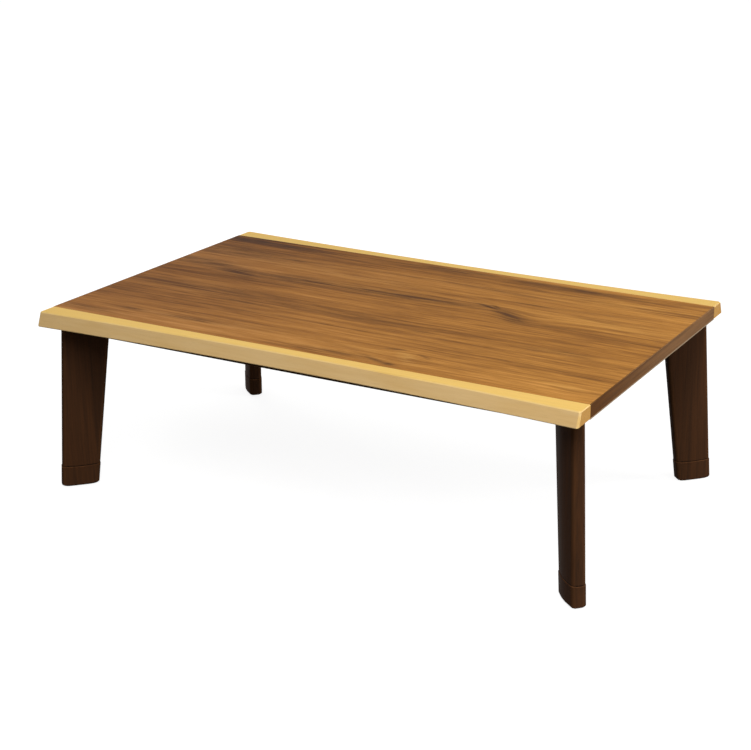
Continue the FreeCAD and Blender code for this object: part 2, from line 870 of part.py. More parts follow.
def fan_blade():
    """One blade along X: a sheet folded to its camber and set at its pitch."""
    root = rotor_hub_radius - blade_root_sink
    middle = (rotor_bottom + rotor_top) / 2
    half = blade_chord / 2
    fold = half * blade_fold_share
    folds = [(-half, 0), (-fold, blade_camber), (fold, blade_camber), (half, 0)]
    ring = [Vec(root, across, up + blade_thickness / 2) for across, up in folds]
    ring += [Vec(root, across, up - blade_thickness / 2) for across, up in reversed(folds)]
    blade = Part.Face(Part.makePolygon(ring + ring[:1])).extrude(ALONG_X * (rotor_radius - root))
    blade.rotate(Vec(0, 0, 0), ALONG_X, blade_pitch)
    blade.translate(UP * (middle - blade_camber / 2))
    return blade


def fan_rotor():
    """The hub with its pitched blades."""
    hub = rod(Vec(0, 0, rotor_bottom), UP, rotor_height, rotor_hub_radius)
    blade = fan_blade()
    rotor = hub.multiFuse([turned(blade, 360 * step / blade_count) for step in range(blade_count)])
    bore = rod(Vec(0, 0, rotor_bottom - cut_overrun), UP, rotor_height + cut_overrun + cut_overrun,
               shaft_radius + shaft_clearance)
    return rotor.cut(bore)


def thermostat():
    """The bimetal can on the reflector's crown."""
    base = Vec(thermostat_place, 0, reflector_plate + reflector_sheet)
    return rod(base, UP, thermostat_height, thermostat_radius)


def terminal_block():
    """The terminal block under the housing's ceiling, beside the inlet."""
    right = housing_half - housing_wall - terminal_wall_gap
    return block(
        Vec(right - terminal_width, -terminal_length / 2, housing_ceiling - terminal_height),
        Vec(right, terminal_length / 2, housing_ceiling),
    )


def inlet_pins():
    """The two flat pins of the inlet."""
    pins = []
    half_thickness, half_width = inlet_pin_thickness / 2, inlet_pin_width / 2
    level = inlet_bottom + inlet_height / 2
    for y in (-inlet_pin_spacing / 2, inlet_pin_spacing / 2):
        pins.append(block(
            Vec(inlet_back, y - half_thickness, level - half_width),
            Vec(inlet_back + inlet_floor + inlet_pin_length, y + half_thickness, level + half_width),
        ))
    return pins


def power_inlet():
    """The inlet's body, open to the right, slotted for its pins."""
    half = inlet_width / 2
    inlet_top = inlet_bottom + inlet_height
    body = block(Vec(inlet_back, -half, inlet_bottom), Vec(bezel_half, half, inlet_top))
    hollow = block(
        Vec(inlet_back + inlet_floor, -half + inlet_wall, inlet_bottom + inlet_wall),
        Vec(bezel_half + cut_overrun, half - inlet_wall, inlet_top - inlet_wall),
    )
    return body.cut(hollow).cut(Part.makeCompound(inlet_pins()))


def make_heater():
    """The whole heater unit in its bay."""
    rim, wires, bars = guard_parts()
    tubes, elements, holders = tube_parts()
    screws = []
    for seat in heater_screw_seats():
        screws.append(hexagon_bolt(seat, UP, ALONG_X, heater_screw_head_radius, heater_screw_head_height,
                                   heater_screw_radius, heater_screw_length))
    save("heater_housing", heater_housing())
    save("heater_bezel", heater_bezel())
    save("guard_rim", rim)
    save("guard_wires", wires)
    save("guard_bars", bars)
    save("heater_reflector", reflector())
    save("quartz_tubes", tubes)
    save("heating_elements", elements)
    save("tube_holders", holders)
    save("fan_motor", fan_motor())
    save("motor_bracket", motor_bracket())
    save("fan_shaft", fan_shaft())
    save("fan_rotor", fan_rotor())
    save("thermostat", thermostat())
    save("terminal_block", terminal_block())
    save("power_inlet", power_inlet())
    save("inlet_pins", inlet_pins())
    save("heater_screws", screws)


os.makedirs("parts", exist_ok=True)
make_table_top()
make_frame()
make_corners()
make_heater()
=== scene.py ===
"""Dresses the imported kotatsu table.

Gives the solids of the frame their wood, metal and felt finishes, and adds ribbed pads, felts, heater coils
and grille wires.
"""

from __future__ import annotations

import json
import logging
import math
import random
from collections.abc import Mapping, Sequence
from dataclasses import dataclass, replace
from enum import Enum
from typing import Any

import bmesh
import bpy
from mathutils import Matrix, Vector

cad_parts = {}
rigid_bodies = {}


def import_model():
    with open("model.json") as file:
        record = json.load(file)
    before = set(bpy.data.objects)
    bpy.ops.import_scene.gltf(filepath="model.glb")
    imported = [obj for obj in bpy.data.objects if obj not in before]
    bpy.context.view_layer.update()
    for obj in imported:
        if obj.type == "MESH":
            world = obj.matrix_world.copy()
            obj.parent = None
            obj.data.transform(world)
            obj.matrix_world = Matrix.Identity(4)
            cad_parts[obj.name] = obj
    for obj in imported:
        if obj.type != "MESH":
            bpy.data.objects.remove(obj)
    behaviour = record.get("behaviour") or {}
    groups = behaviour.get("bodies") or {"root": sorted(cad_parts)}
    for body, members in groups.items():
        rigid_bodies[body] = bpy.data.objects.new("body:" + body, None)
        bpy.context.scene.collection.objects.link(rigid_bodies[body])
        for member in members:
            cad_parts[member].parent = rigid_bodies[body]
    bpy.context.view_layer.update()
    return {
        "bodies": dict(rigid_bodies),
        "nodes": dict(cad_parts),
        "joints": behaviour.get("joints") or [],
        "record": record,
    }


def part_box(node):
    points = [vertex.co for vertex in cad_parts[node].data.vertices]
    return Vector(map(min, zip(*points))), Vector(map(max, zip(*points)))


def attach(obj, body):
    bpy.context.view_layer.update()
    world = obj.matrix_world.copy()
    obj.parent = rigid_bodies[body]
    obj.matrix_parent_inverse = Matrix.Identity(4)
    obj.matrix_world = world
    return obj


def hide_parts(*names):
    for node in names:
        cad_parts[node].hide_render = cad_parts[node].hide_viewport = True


log = logging.getLogger("kotatsu")

Colour = tuple[float, float, float]
Stops = tuple[tuple[float, Colour], ...]
Span = tuple[float, float]

MILLIMETRE = 0.001
DIAGONAL = math.sqrt(0.5)
MEAN = 0.5  # the average of all noise
CORNERS = ("front_left", "front_right", "back_left", "back_right")


class Grain(Enum):
    """The axis that the fibres of a wooden piece run along."""

    X = 0
    Y = 1
    Z = 2


class Wire:
    """One output socket of a node tree; arithmetic on it adds Math nodes."""

    def __init__(self, sheet: NodeSheet, socket: bpy.types.NodeSocket) -> None:
        """Keep the socket and the tree that it belongs to."""
        self.sheet = sheet
        self.socket = socket

    def maths(self, operation: str, *values: Any) -> Wire:
        """Add a Math node.

        Args:
            operation: The node's operation.
            values: Its inputs in order, numbers or wires.

        Returns:
            The node's result.
        """
        return self.sheet.node("ShaderNodeMath", {"operation": operation}, dict(enumerate(values)))

    def __add__(self, other: Any) -> Wire:
        """This plus other."""
        return self.maths("ADD", self, other)

    def __radd__(self, other: Any) -> Wire:
        """Other plus this."""
        return self.maths("ADD", other, self)

    def __sub__(self, other: Any) -> Wire:
        """This less other."""
        return self.maths("SUBTRACT", self, other)

    def __rsub__(self, other: Any) -> Wire:
        """Other less this."""
        return self.maths("SUBTRACT", other, self)

    def __mul__(self, other: Any) -> Wire:
        """This times other."""
        return self.maths("MULTIPLY", self, other)

    def __rmul__(self, other: Any) -> Wire:
        """Other times this."""
        return self.maths("MULTIPLY", other, self)

    def __truediv__(self, other: Any) -> Wire:
        """This divided by other."""
        return self.maths("DIVIDE", self, other)

    def size(self) -> Wire:
        """The value without its sign."""
        return self.maths("ABSOLUTE", self)

    def bell(self) -> Wire:
        """A smooth hump: 1 at nought, falling away on both sides."""
        return (self * self).fade()

    def fade(self) -> Wire:
        """1 at nought, falling away as the value grows."""
        return self.maths("EXPONENT", -1.0 * self)

    def most(self, other: Any) -> Wire:
        """The greater of this and other."""
        return self.maths("MAXIMUM", self, other)

    def between(self, low: float, high: float) -> Wire:
        """Ease from 0 at low to 1 at high.

        Args:
            low: The value that gives 0.
            high: The value that gives 1.

        Returns:
            The eased value, held between 0 and 1.
        """
        return self.sheet.node(
            "ShaderNodeMapRange",
            {"interpolation_type": "SMOOTHSTEP"},
            {"Value": self, "From Min": low, "From Max": high},
        )

    def beside(self, output: int | str) -> Wire:
        """Another output of the same node."""
        return Wire(self.sheet, self.socket.node.outputs[output])


class NodeSheet:
    """A node tree that is filled from Python."""

    def __init__(self, tree: bpy.types.NodeTree) -> None:
        """Start on an empty tree."""
        self.tree = tree
        self.tree.nodes.clear()

    def node(
        self,
        kind: str,
        settings: Mapping[str, Any] | None = None,
        feeds: Mapping[int | str, Any] | None = None,
        output: int | str = 0,
    ) -> Wire:
        """Add one node.

        Args:
            kind: The node's type.
            settings: Its properties, set first; "stops" fills a colour ramp.
            feeds: A value or a wire for each input, by name or place.
            output: The output that is handed back, by name or place.

        Returns:
            The chosen output, or an empty wire where the node has none.
        """
        made = self.tree.nodes.new(kind)
        for name, value in (settings or {}).items():
            if name == "stops":
                self._set_stops(made.color_ramp, value)
            else:
                setattr(made, name, value)
        for key, value in (feeds or {}).items():
            self._feed(made.inputs[key], value)
        return Wire(self, made.outputs[output] if made.outputs else None)

    def _feed(self, socket: bpy.types.NodeSocket, value: Any) -> None:
        """Link a wire to a socket, or set its value."""
        if isinstance(value, Wire):
            self.tree.links.new(value.socket, socket)
        elif socket.type == "RGBA":
            socket.default_value = (*value, 1.0)
        else:
            socket.default_value = value

    @staticmethod
    def _set_stops(ramp: bpy.types.ColorRamp, stops: Stops) -> None:
        """Give a colour ramp its stops."""
        while len(ramp.elements) < len(stops):
            ramp.elements.new(1.0)
        for element, (place, colour) in zip(ramp.elements, stops, strict=True):
            element.position = place
            element.color = (*colour, 1.0)


@dataclass(frozen=True)
class Layer:
    """Noise that is drawn out along fibres: its cycles to a metre both ways, its fineness and its level."""

    along: float
    across: float
    detail: float
    rough: float = 0.5
    level: float = 0.0


class FinishSheet(NodeSheet):
    """The shader tree of one finish, with the place on the piece at hand."""

    def __init__(self, name: str) -> None:
        """Make the material and its coordinates.

        Args:
            name: The material's name.
        """
        self.material = bpy.data.materials.new(name)
        self.material.use_nodes = True
        super().__init__(self.material.node_tree)
        self.place = self.node("ShaderNodeTexCoord", output="Object")
        self.x, self.y, self.z = self.split(self.place)

    def split(self, vector: Wire) -> tuple[Wire, Wire, Wire]:
        """The three parts of a vector."""
        first = self.node("ShaderNodeSeparateXYZ", feeds={0: vector})
        return first, first.beside(1), first.beside(2)

    def facing(self) -> tuple[Wire, Wire, Wire]:
        """The parts of the surface's normal in the piece's own axes."""
        return self.split(self.node("ShaderNodeTexCoord", output="Normal"))

    def point(self, x: Any, y: Any, z: Any) -> Wire:
        """A vector from three parts."""
        return self.node("ShaderNodeCombineXYZ", feeds={0: x, 1: y, 2: z})

    def square(self, vector: Wire) -> Wire:
        """The square of a vector's length."""
        dot = {"operation": "DOT_PRODUCT"}
        return self.node("ShaderNodeVectorMath", dot, {0: vector, 1: vector}, "Value")

    def noise(self, place: Wire, detail: float = 3.0, rough: float = 0.5, scale: float = 1.0) -> Wire:
        """Smooth noise.

        Args:
            place: Where it is read.
            detail: How many finer layers it has.
            rough: How strong the finer layers are.
            scale: Its scale.

        Returns:
            The noise, about 0.5 on average.
        """
        feeds = {"Vector": place, "Scale": scale, "Detail": detail, "Roughness": rough}
        return self.node("ShaderNodeTexNoise", feeds=feeds)

    def drawn(self, layer: Layer, along: Wire, across: Wire, second: Wire | None = None) -> Wire:
        """Noise that is drawn out along the fibres.

        Args:
            layer: Its sizes.
            along: The place along the fibres.
            across: The place across them.
            second: The place across them the other way, or None on a flat board.

        Returns:
            The noise, about 0.5 on average.
        """
        third = layer.level if second is None else second * layer.across
        place = self.point(along * layer.along, across * layer.across, third)
        return self.noise(place, layer.detail, layer.rough)

    def ramp(self, value: Wire, stops: Stops) -> Wire:
        """Turn a value into a colour by stops."""
        return self.node("ShaderNodeValToRGB", {"stops": stops}, {"Fac": value})

    def mix(self, under: Any, over: Any, share: Any, blend: str = "MIX") -> Wire:
        """Lay one colour over another.

        Args:
            under: The colour below.
            over: The colour above.
            share: How much of it shows.
            blend: The way they blend.

        Returns:
            The mixed colour.
        """
        settings = {"data_type": "RGBA", "blend_type": blend, "clamp_factor": True}
        return self.node("ShaderNodeMix", settings, {0: share, 6: under, 7: over}, 2)

    def bump(self, height: Wire, depth: float, strength: float = 1.0) -> Wire:
        """Raise the surface.

        Args:
            height: The height, from 0 to 1.
            depth: What a height of 1 stands for, in metres.
            strength: How far the normal turns.

        Returns:
            The bent normal.
        """
        feeds = {"Strength": strength, "Distance": depth, "Height": height}
        return self.node("ShaderNodeBump", feeds=feeds)

    def surface(self, **feeds: Any) -> Wire:
        """A Principled shader; a word's underscores stand for the spaces of the socket's name."""
        named = {name.replace("_", " "): value for name, value in feeds.items()}
        return self.node("ShaderNodeBsdfPrincipled", feeds=named)

    def close(self, shader: Wire) -> bpy.types.Material:
        """Send the shader to the output and hand back the material."""
        self.node("ShaderNodeOutputMaterial", feeds={"Surface": shader})
        return self.material


class Finish:
    """What all finishes share."""

    def build(self, name: str) -> bpy.types.Material:
        """Make the material.

        Args:
            name: Its name.

        Returns:
            The material.
        """
        sheet = FinishSheet(name)
        return sheet.close(self.shader(sheet))

    def shader(self, sheet: FinishSheet) -> Wire:
        """The finish's shader, which each finish makes in its own way."""
        raise NotImplementedError


@dataclass(frozen=True)
class Flame:
    """A dark or pale flame in the veneer: its middle, its half sizes, its turn in degrees and its depth."""

    x: float
    y: float
    reach: float
    width: float
    turn: float
    depth: float


@dataclass(frozen=True)
class Swirl:
    """Where the fibres run round or across: its middle, its half sizes, its push outwards and its slope."""

    x: float
    y: float
    reach: float
    width: float
    push: float
    slope: float = 0.0


@dataclass(frozen=True)
class WalnutVeneer(Finish):
    """Flat-sawn walnut veneer under a thin satin lacquer, with its fibres along X."""

    stops: Stops = (
        (0.34, (0.145, 0.057, 0.014)),
        (0.43, (0.290, 0.120, 0.026)),
        (0.50, (0.440, 0.190, 0.039)),
        (0.57, (0.560, 0.252, 0.053)),
        (0.67, (0.720, 0.352, 0.088)),
    )
    dark: Colour = (0.100, 0.045, 0.017)
    pale: Colour = (0.670, 0.345, 0.085)
    # painted shade with a painted bluish reflection: the veneer is multiplied darker and bluer towards its
    # left end
    painted_left_shade: Colour = (0.71, 0.67, 0.84)
    pore: Colour = (0.45, 0.36, 0.30)
    dark_flames: tuple[Flame, ...] = (
        Flame(-0.620, 0.338, 0.150, 0.040, 0.0, 0.95),
        Flame(-0.490, 0.328, 0.190, 0.026, -2.0, 0.80),
        Flame(-0.020, 0.342, 0.140, 0.016, -1.0, 0.75),
        Flame(0.250, 0.340, 0.110, 0.013, 0.0, 0.70),
        Flame(0.370, 0.334, 0.140, 0.013, -2.0, 0.95),
        Flame(-0.600, 0.236, 0.200, 0.048, 0.0, 0.80),
        Flame(-0.420, 0.226, 0.130, 0.009, 3.0, 0.70),
        Flame(-0.080, 0.243, 0.300, 0.006, 1.0, 0.55),
        Flame(0.230, 0.233, 0.230, 0.006, -3.0, 0.50),
        Flame(0.400, 0.176, 0.200, 0.006, 1.0, 0.50),
        Flame(-0.610, 0.112, 0.150, 0.032, -6.0, 0.80),
        Flame(-0.460, 0.068, 0.110, 0.032, -6.0, 0.85),
        Flame(-0.300, 0.084, 0.190, 0.028, 4.0, 0.85),
        Flame(-0.050, 0.092, 0.240, 0.028, 1.0, 0.80),
        Flame(0.120, 0.092, 0.120, 0.010, -4.0, 0.60),
        Flame(0.160, 0.080, 0.070, 0.006, -6.0, 0.70),
        Flame(0.211, 0.104, 0.050, 0.008, -25.0, 0.95),
        Flame(0.228, 0.111, 0.028, 0.007, -38.0, 0.75),
        Flame(0.283, 0.068, 0.066, 0.030, -25.0, 0.85),
        Flame(0.312, 0.062, 0.038, 0.009, -38.0, 0.90),
        Flame(0.400, 0.046, 0.080, 0.007, 2.0, 0.45),
        Flame(-0.450, -0.080, 0.260, 0.034, 0.0, 0.52),
        Flame(-0.330, -0.128, 0.130, 0.009, -3.0, 0.65),
        Flame(-0.080, -0.100, 0.260, 0.028, 0.0, 0.42),
        Flame(0.160, -0.127, 0.040, 0.008, 0.0, 0.70),
        Flame(0.490, -0.110, 0.100, 0.013, 2.0, 0.75),
        Flame(-0.620, -0.177, 0.070, 0.008, -3.0, 0.70),
        Flame(-0.180, -0.182, 0.320, 0.006, 0.0, 0.45),
        Flame(-0.500, -0.292, 0.050, 0.010, 0.0, 0.60),
        Flame(-0.330, -0.293, 0.120, 0.009, 0.0, 0.75),
        Flame(0.080, -0.334, 0.130, 0.016, 2.0, 0.60),
        Flame(0.165, -0.333, 0.060, 0.010, -17.0, 0.85),
        Flame(0.204, -0.343, 0.018, 0.010, 0.0, 0.95),
        Flame(0.168, -0.257, 0.030, 0.007, 14.0, 0.70),
        Flame(0.253, -0.276, 0.024, 0.007, -22.0, 0.75),
        Flame(-0.620, -0.335, 0.090, 0.014, 0.0, 0.55),
        Flame(0.460, -0.230, 0.380, 0.150, 0.0, 0.17),
    )
    pale_flames: tuple[Flame, ...] = (
        Flame(-0.250, 0.180, 0.260, 0.026, -3.0, 0.50),
        Flame(0.480, 0.270, 0.200, 0.030, 0.0, 0.40),
        Flame(0.500, 0.110, 0.180, 0.036, -3.0, 0.50),
        Flame(0.218, -0.293, 0.036, 0.013, -35.0, 1.50),
        Flame(0.080, -0.290, 0.100, 0.012, 0.0, 0.45),
        Flame(0.600, -0.300, 0.050, 0.010, -10.0, 0.60),
        Flame(-0.180, -0.275, 0.180, 0.016, -2.0, 0.35),
    )
    swirls: tuple[Swirl, ...] = (
        Swirl(0.280, 0.074, 0.085, 0.045, 0.0, -0.36),
        Swirl(0.225, -0.300, 0.045, 0.026, 0.022),
        Swirl(0.610, -0.300, 0.060, 0.022, 0.013),
        Swirl(-0.225, -0.318, 0.018, 0.007, 0.005),
        Swirl(-0.005, -0.330, 0.018, 0.007, 0.005),
        Swirl(-0.470, 0.070, 0.120, 0.040, 0.0, -0.12),
    )
    meander: float = 13.0 * MILLIMETRE
    drift: Layer = Layer(1.3, 3.2, 2.0, level=0.37)
    broad: Layer = Layer(0.9, 8.0, 3.0, 0.55, 4.1)
    streaks: Layer = Layer(2.6, 70.0, 4.0, 0.70, 1.9)
    fine: Layer = Layer(12.0, 220.0, 3.0, 0.62, 7.3)
    pores: Layer = Layer(34.0, 1150.0, 2.0, 0.70, 2.2)
    tone_shares: tuple[float, float, float] = (0.41, 0.41, 0.24)
    tone_drop: float = 0.03
    thread_span: Span = (0.62, 0.38)
    thread_depth: float = 0.80
    thread_least: float = 0.42
    pale_most: float = 1.3
    painted_shade_reach: float = 0.75
    pit_span: Span = (0.58, 0.74)
    pit_share: float = 0.55
    pit_height: float = 0.8
    fine_height: float = 0.2
    pore_depth: float = 0.12 * MILLIMETRE
    roughness: float = 0.46
    streak_roughness: float = 0.16
    pit_roughness: float = 0.10
    gloss: float = 0.01

    def shader(self, sheet: FinishSheet) -> Wire:
        """Fill the tree.

        Args:
            sheet: The tree.

        Returns:
            The shader.
        """
        x = sheet.x
        line = self._line(sheet)
        layers = (self.broad, self.streaks, self.fine, self.pores)
        broad, streaks, fine, pores = (sheet.drawn(layer, x, line) for layer in layers)
        broad_share, streak_share, fine_share = self.tone_shares
        tone = broad * broad_share + streaks * streak_share + fine * fine_share - self.tone_drop
        threads = (streaks * 0.5 + fine * 0.5).between(*self.thread_span)
        threads = threads * self.thread_depth + self.thread_least
        spot = sheet.point(x, line, 0.0)
        lit = self._share(sheet, spot, self.pale_flames) * (self.pale_most - threads)
        burnt = self._share(sheet, spot, self.dark_flames) * threads
        pit = pores.between(*self.pit_span)
        colour = sheet.ramp(tone, self.stops)
        colour = sheet.mix(colour, self.pale, lit)
        colour = sheet.mix(colour, self.dark, burnt)
        # painted shade and painted bluish reflection, growing towards the left end
        colour = sheet.mix(colour, self.painted_left_shade, x.between(self.painted_shade_reach, -self.painted_shade_reach), "MULTIPLY")
        colour = sheet.mix(colour, self.pore, pit * self.pit_share, "MULTIPLY")
        height = 1.0 - pit * self.pit_height + fine * self.fine_height
        return sheet.surface(
            Base_Color=colour,
            Roughness=self.roughness + (streaks - MEAN) * self.streak_roughness + pit * self.pit_roughness,
            Specular_IOR_Level=self.gloss,
            Normal=sheet.bump(height, self.pore_depth, 0.5),
        )

    def _line(self, sheet: FinishSheet) -> Wire:
        """The place of a fibre across the board, which meanders and bends round the swirls.

        Args:
            sheet: The finish's tree.

        Returns:
            The place, in metres.
        """
        line = sheet.y + (sheet.drawn(self.drift, sheet.x, sheet.y) - MEAN) * self.meander
        for swirl in self.swirls:
            along = (sheet.x - swirl.x) / swirl.reach
            across = (sheet.y - swirl.y) / swirl.width
            bent = across * swirl.push + along * (swirl.slope * swirl.reach)
            line = line - bent * along.bell() * across.bell()
        return line

    @staticmethod
    def _share(sheet: FinishSheet, spot: Wire, flames: Sequence[Flame]) -> Wire:
        """How much of some flames shows at a place.

        Args:
            sheet: The finish's tree.
            spot: The place, with the line of its fibre for Y.
            flames: The flames.

        Returns:
            The share, from 0 to 1.
        """
        total: Wire | None = None
        for flame in flames:
            feeds = {
                "Vector": spot,
                "Location": (flame.x, flame.y, 0.0),
                "Rotation": (0.0, 0.0, math.radians(flame.turn)),
                "Scale": (flame.reach, flame.width, 1.0),
            }
            spread = sheet.node("ShaderNodeMapping", {"vector_type": "TEXTURE"}, feeds)
            share = sheet.square(spread).fade() * flame.depth
            total = share if total is None else total.most(share)
        return total


@dataclass(frozen=True)
class PaintedLegShade:
    """Painted shade on the stain: the top's shadow on the legs' inner heads, shade on their front left sides
    and back left leg, a shadow line in the seam above each foot.
    """

    # the colour of the painted shade
    colour: Colour = (0.008, 0.005, 0.004)
    seam: float = 52.0 * MILLIMETRE
    seam_width: float = 1.2 * MILLIMETRE
    seam_share: float = 0.9
    outer_reach: float = 0.7525  # from the table's middle to the legs' outer edges, along a diagonal
    breadth: float = 0.10
    height: float = 0.40
    inner_weight: float = 0.6
    head_shadow_span: Span = (0.70, 1.25)
    head_shadow_share: float = 0.45
    right_span: Span = (-0.6, 0.3)  # these two count from the front right towards the back left
    left_span: Span = (0.5, 0.95)
    turned_span: Span = (0.5, 0.9)
    under_span: Span = (0.42, 0.36)
    right_least: float = 0.35
    side_shade_share: float = 0.38

    def lay(self, sheet: FinishSheet, colour: Wire, facing: Sequence[Wire]) -> Wire:
        """Lay painted shade on a stain.

        Args:
            sheet: The finish's tree.
            colour: The stain.
            facing: The parts of the surface's normal.

        Returns:
            The stain with the painted shade laid on it.
        """
        x, y, z = sheet.x, sheet.y, sheet.z
        leftward = y - x
        inward = ((x.size() + y.size()) * -DIAGONAL + self.outer_reach) / self.breadth
        # painted shadow of the top on the upper, inner parts of the legs and on the aprons, weaker towards
        # the front right
        head_shadow = (z / self.height + inward * self.inner_weight).between(*self.head_shadow_span)
        head_shadow = head_shadow * (leftward.between(*self.right_span) * (1.0 - self.right_least) + self.right_least)
        # painted shade on the sides turned to the front left below the top, and over the back left leg
        turned = ((facing[0] + facing[1]) * -DIAGONAL).between(*self.turned_span)
        side = (turned * z.between(*self.under_span)).most(leftward.between(*self.left_span))
        # painted shadow line in the seam groove above each foot
        line = ((z - self.seam) / self.seam_width).bell()
        for share in (head_shadow * self.head_shadow_share, side * self.side_shade_share, line * self.seam_share):
            colour = sheet.mix(colour, self.colour, share)
        return colour


@dataclass(frozen=True)
class Timber(Finish):
    """Plain wood with fine straight fibres, stained or clear."""

    grain: Grain
    pale: Colour
    dark: Colour
    edge: Colour
    edge_share: float = 0.0
    streak_pitch: float = 10.0 * MILLIMETRE
    contrast: float = 0.5
    roughness: float = 0.45
    gloss: float = 0.25
    end_colour: Colour | None = None
    # painted cooler light: the front and back faces tinted bluer and slightly darker
    painted_flank_light: Colour | None = None
    # painted shade: darker towards the front
    painted_near_shade: Colour | None = None
    # painted shade on the legs and aprons
    painted_leg_shade: PaintedLegShade | None = None
    sway: Layer = Layer(2.0, 4.0, 2.0)
    sway_reach: float = 1.6
    streaks: Layer = Layer(2.2, 1.0, 4.0, 0.6)  # across, these two count in streaks
    fine: Layer = Layer(9.0, 3.5, 3.0, 0.6)
    cloud: Layer = Layer(1.2, 9.0, 2.0)
    tone_shares: tuple[float, float, float] = (0.50, 0.32, 0.18)
    pore: Colour = (0.55, 0.50, 0.46)
    pores: Layer = Layer(45.0, 1300.0, 2.0, 0.7)
    pit_span: Span = (0.60, 0.76)
    pit_share: float = 0.4
    pit_height: float = 0.7
    streak_height: float = 0.3
    pore_depth: float = 0.08 * MILLIMETRE
    streak_roughness: float = 0.18
    pit_roughness: float = 0.08
    flank_span: Span = (0.5, 0.9)
    near_span: Span = (0.16, -0.40)
    end_span: Span = (0.6, 0.9)
    speck_scale: float = 900.0
    speck_span: Span = (0.45, 0.75)
    speck_share: float = 0.6
    # breaks up the paler edges: rubbed wear with a painted highlight
    rub_and_highlight: Layer = Layer(7.0, 40.0, 2.0)
    rub_and_highlight_span: Span = (0.20, 0.65)
    worn_span: Span = (0.35, 0.95)
    upright_share: float = 0.45
    # upward slopes get a painted highlight; level faces are left out
    highlight_slope_span: Span = (0.20, 0.60)
    level_span: Span = (0.80, 0.95)

    def shader(self, sheet: FinishSheet) -> Wire:
        """Fill the tree.

        Args:
            sheet: The tree.

        Returns:
            The shader.
        """
        parts = [sheet.x, sheet.y, sheet.z]
        along = parts.pop(self.grain.value)
        first, second = parts
        sway = sheet.drawn(self.sway, along, first, second) - MEAN
        pitch = self.streak_pitch
        run = (along, first + sway * (pitch * self.sway_reach), second)
        scaled = [replace(layer, across=layer.across / pitch) for layer in (self.streaks, self.fine)]
        layers = (*scaled, self.cloud, self.pores)
        streaks, fine, cloud, pores = (sheet.drawn(layer, *run) for layer in layers)
        streak_share, fine_share, cloud_share = self.tone_shares
        tone = streaks * streak_share + fine * fine_share + cloud * cloud_share
        spread = self.contrast / 2
        pit = pores.between(*self.pit_span)
        colour = sheet.mix(self.dark, self.pale, tone.between(MEAN - spread, MEAN + spread))
        colour = sheet.mix(colour, self.pore, pit * self.pit_share, "MULTIPLY")
        facing = sheet.facing()
        colour = self._tinted(sheet, colour, facing)
        # paler eased edges and upward slopes: partly rubbed wear, partly a painted highlight
        if self.edge_share:
            rub_and_highlight = sheet.drawn(self.rub_and_highlight, *run).between(*self.rub_and_highlight_span)
            colour = sheet.mix(colour, self.edge, self._wear_and_highlight(*facing) * rub_and_highlight * self.edge_share)
        height = 1.0 - pit * self.pit_height + streaks * self.streak_height
        return sheet.surface(
            Base_Color=colour,
            Roughness=self.roughness + (streaks - MEAN) * self.streak_roughness + pit * self.pit_roughness,
            Specular_IOR_Level=self.gloss,
            Normal=sheet.bump(height, self.pore_depth, 0.6),
        )

    def _tinted(self, sheet: FinishSheet, colour: Wire, facing: Sequence[Wire]) -> Wire:
        """Tint the flanks with painted cooler light, darken the near end with painted shade, tone the end
        grain and lay painted shade on the legs.

        Args:
            sheet: The finish's tree.
            colour: The wood's colour.
            facing: The parts of the surface's normal.

        Returns:
            The toned colour.
        """
        # painted cooler light on the front and back faces
        if self.painted_flank_light:
            flank = facing[1].size().between(*self.flank_span)
            colour = sheet.mix(colour, self.painted_flank_light, flank, "MULTIPLY")
        # painted shade towards the front
        if self.painted_near_shade:
            colour = sheet.mix(colour, self.painted_near_shade, sheet.y.between(*self.near_span), "MULTIPLY")
        if self.end_colour:
            end = facing[self.grain.value].size().between(*self.end_span)
            speck = sheet.noise(sheet.place, 3.0, 0.7, self.speck_scale).between(*self.speck_span)
            colour = sheet.mix(colour, sheet.mix(self.end_colour, self.dark, speck * self.speck_share), end)
        # painted shade on the legs
        return self.painted_leg_shade.lay(sheet, colour, facing) if self.painted_leg_shade else colour

    def _wear_and_highlight(self, nx: Wire, ny: Wire, nz: Wire) -> Wire:
        """How much paler a surface is painted: rubbed wear with a painted highlight on eased edges, a painted
        highlight on upper slopes.

        Args:
            nx: The normal's part along X.
            ny: The normal's part along Y.
            nz: The normal's part along Z.

        Returns:
            The share, from 0 to 1.
        """
        if self.grain is Grain.Z:
            wear_and_highlight = (nx * nx - ny * ny).size().between(*self.worn_span) * self.upright_share
        else:
            slant = (nx * ny).size().most((ny * nz).size()).most((nx * nz).size()) * 2.0
            wear_and_highlight = slant.between(*self.worn_span)
        return wear_and_highlight.most(nz.between(*self.highlight_slope_span) * (1.0 - nz.between(*self.level_span)))


@dataclass(frozen=True)
class SpeckledBoard(Finish):
    """Pressed wood board."""

    pale: Colour = (0.46, 0.34, 0.21)
    dark: Colour = (0.28, 0.19, 0.11)
    chip_scale: float = 420.0
    chip_span: Span = (0.35, 0.65)
    depth: float = 0.2 * MILLIMETRE

    def shader(self, sheet: FinishSheet) -> Wire:
        """Fill the tree.

        Args:
            sheet: The tree.

        Returns:
            The shader.
        """
        chips = sheet.noise(sheet.place, 4.0, 0.7, self.chip_scale)
        return sheet.surface(
            Base_Color=sheet.mix(self.dark, self.pale, chips.between(*self.chip_span)),
            Roughness=0.8 + chips * 0.1,
            Normal=sheet.bump(chips, self.depth, 0.6),
        )


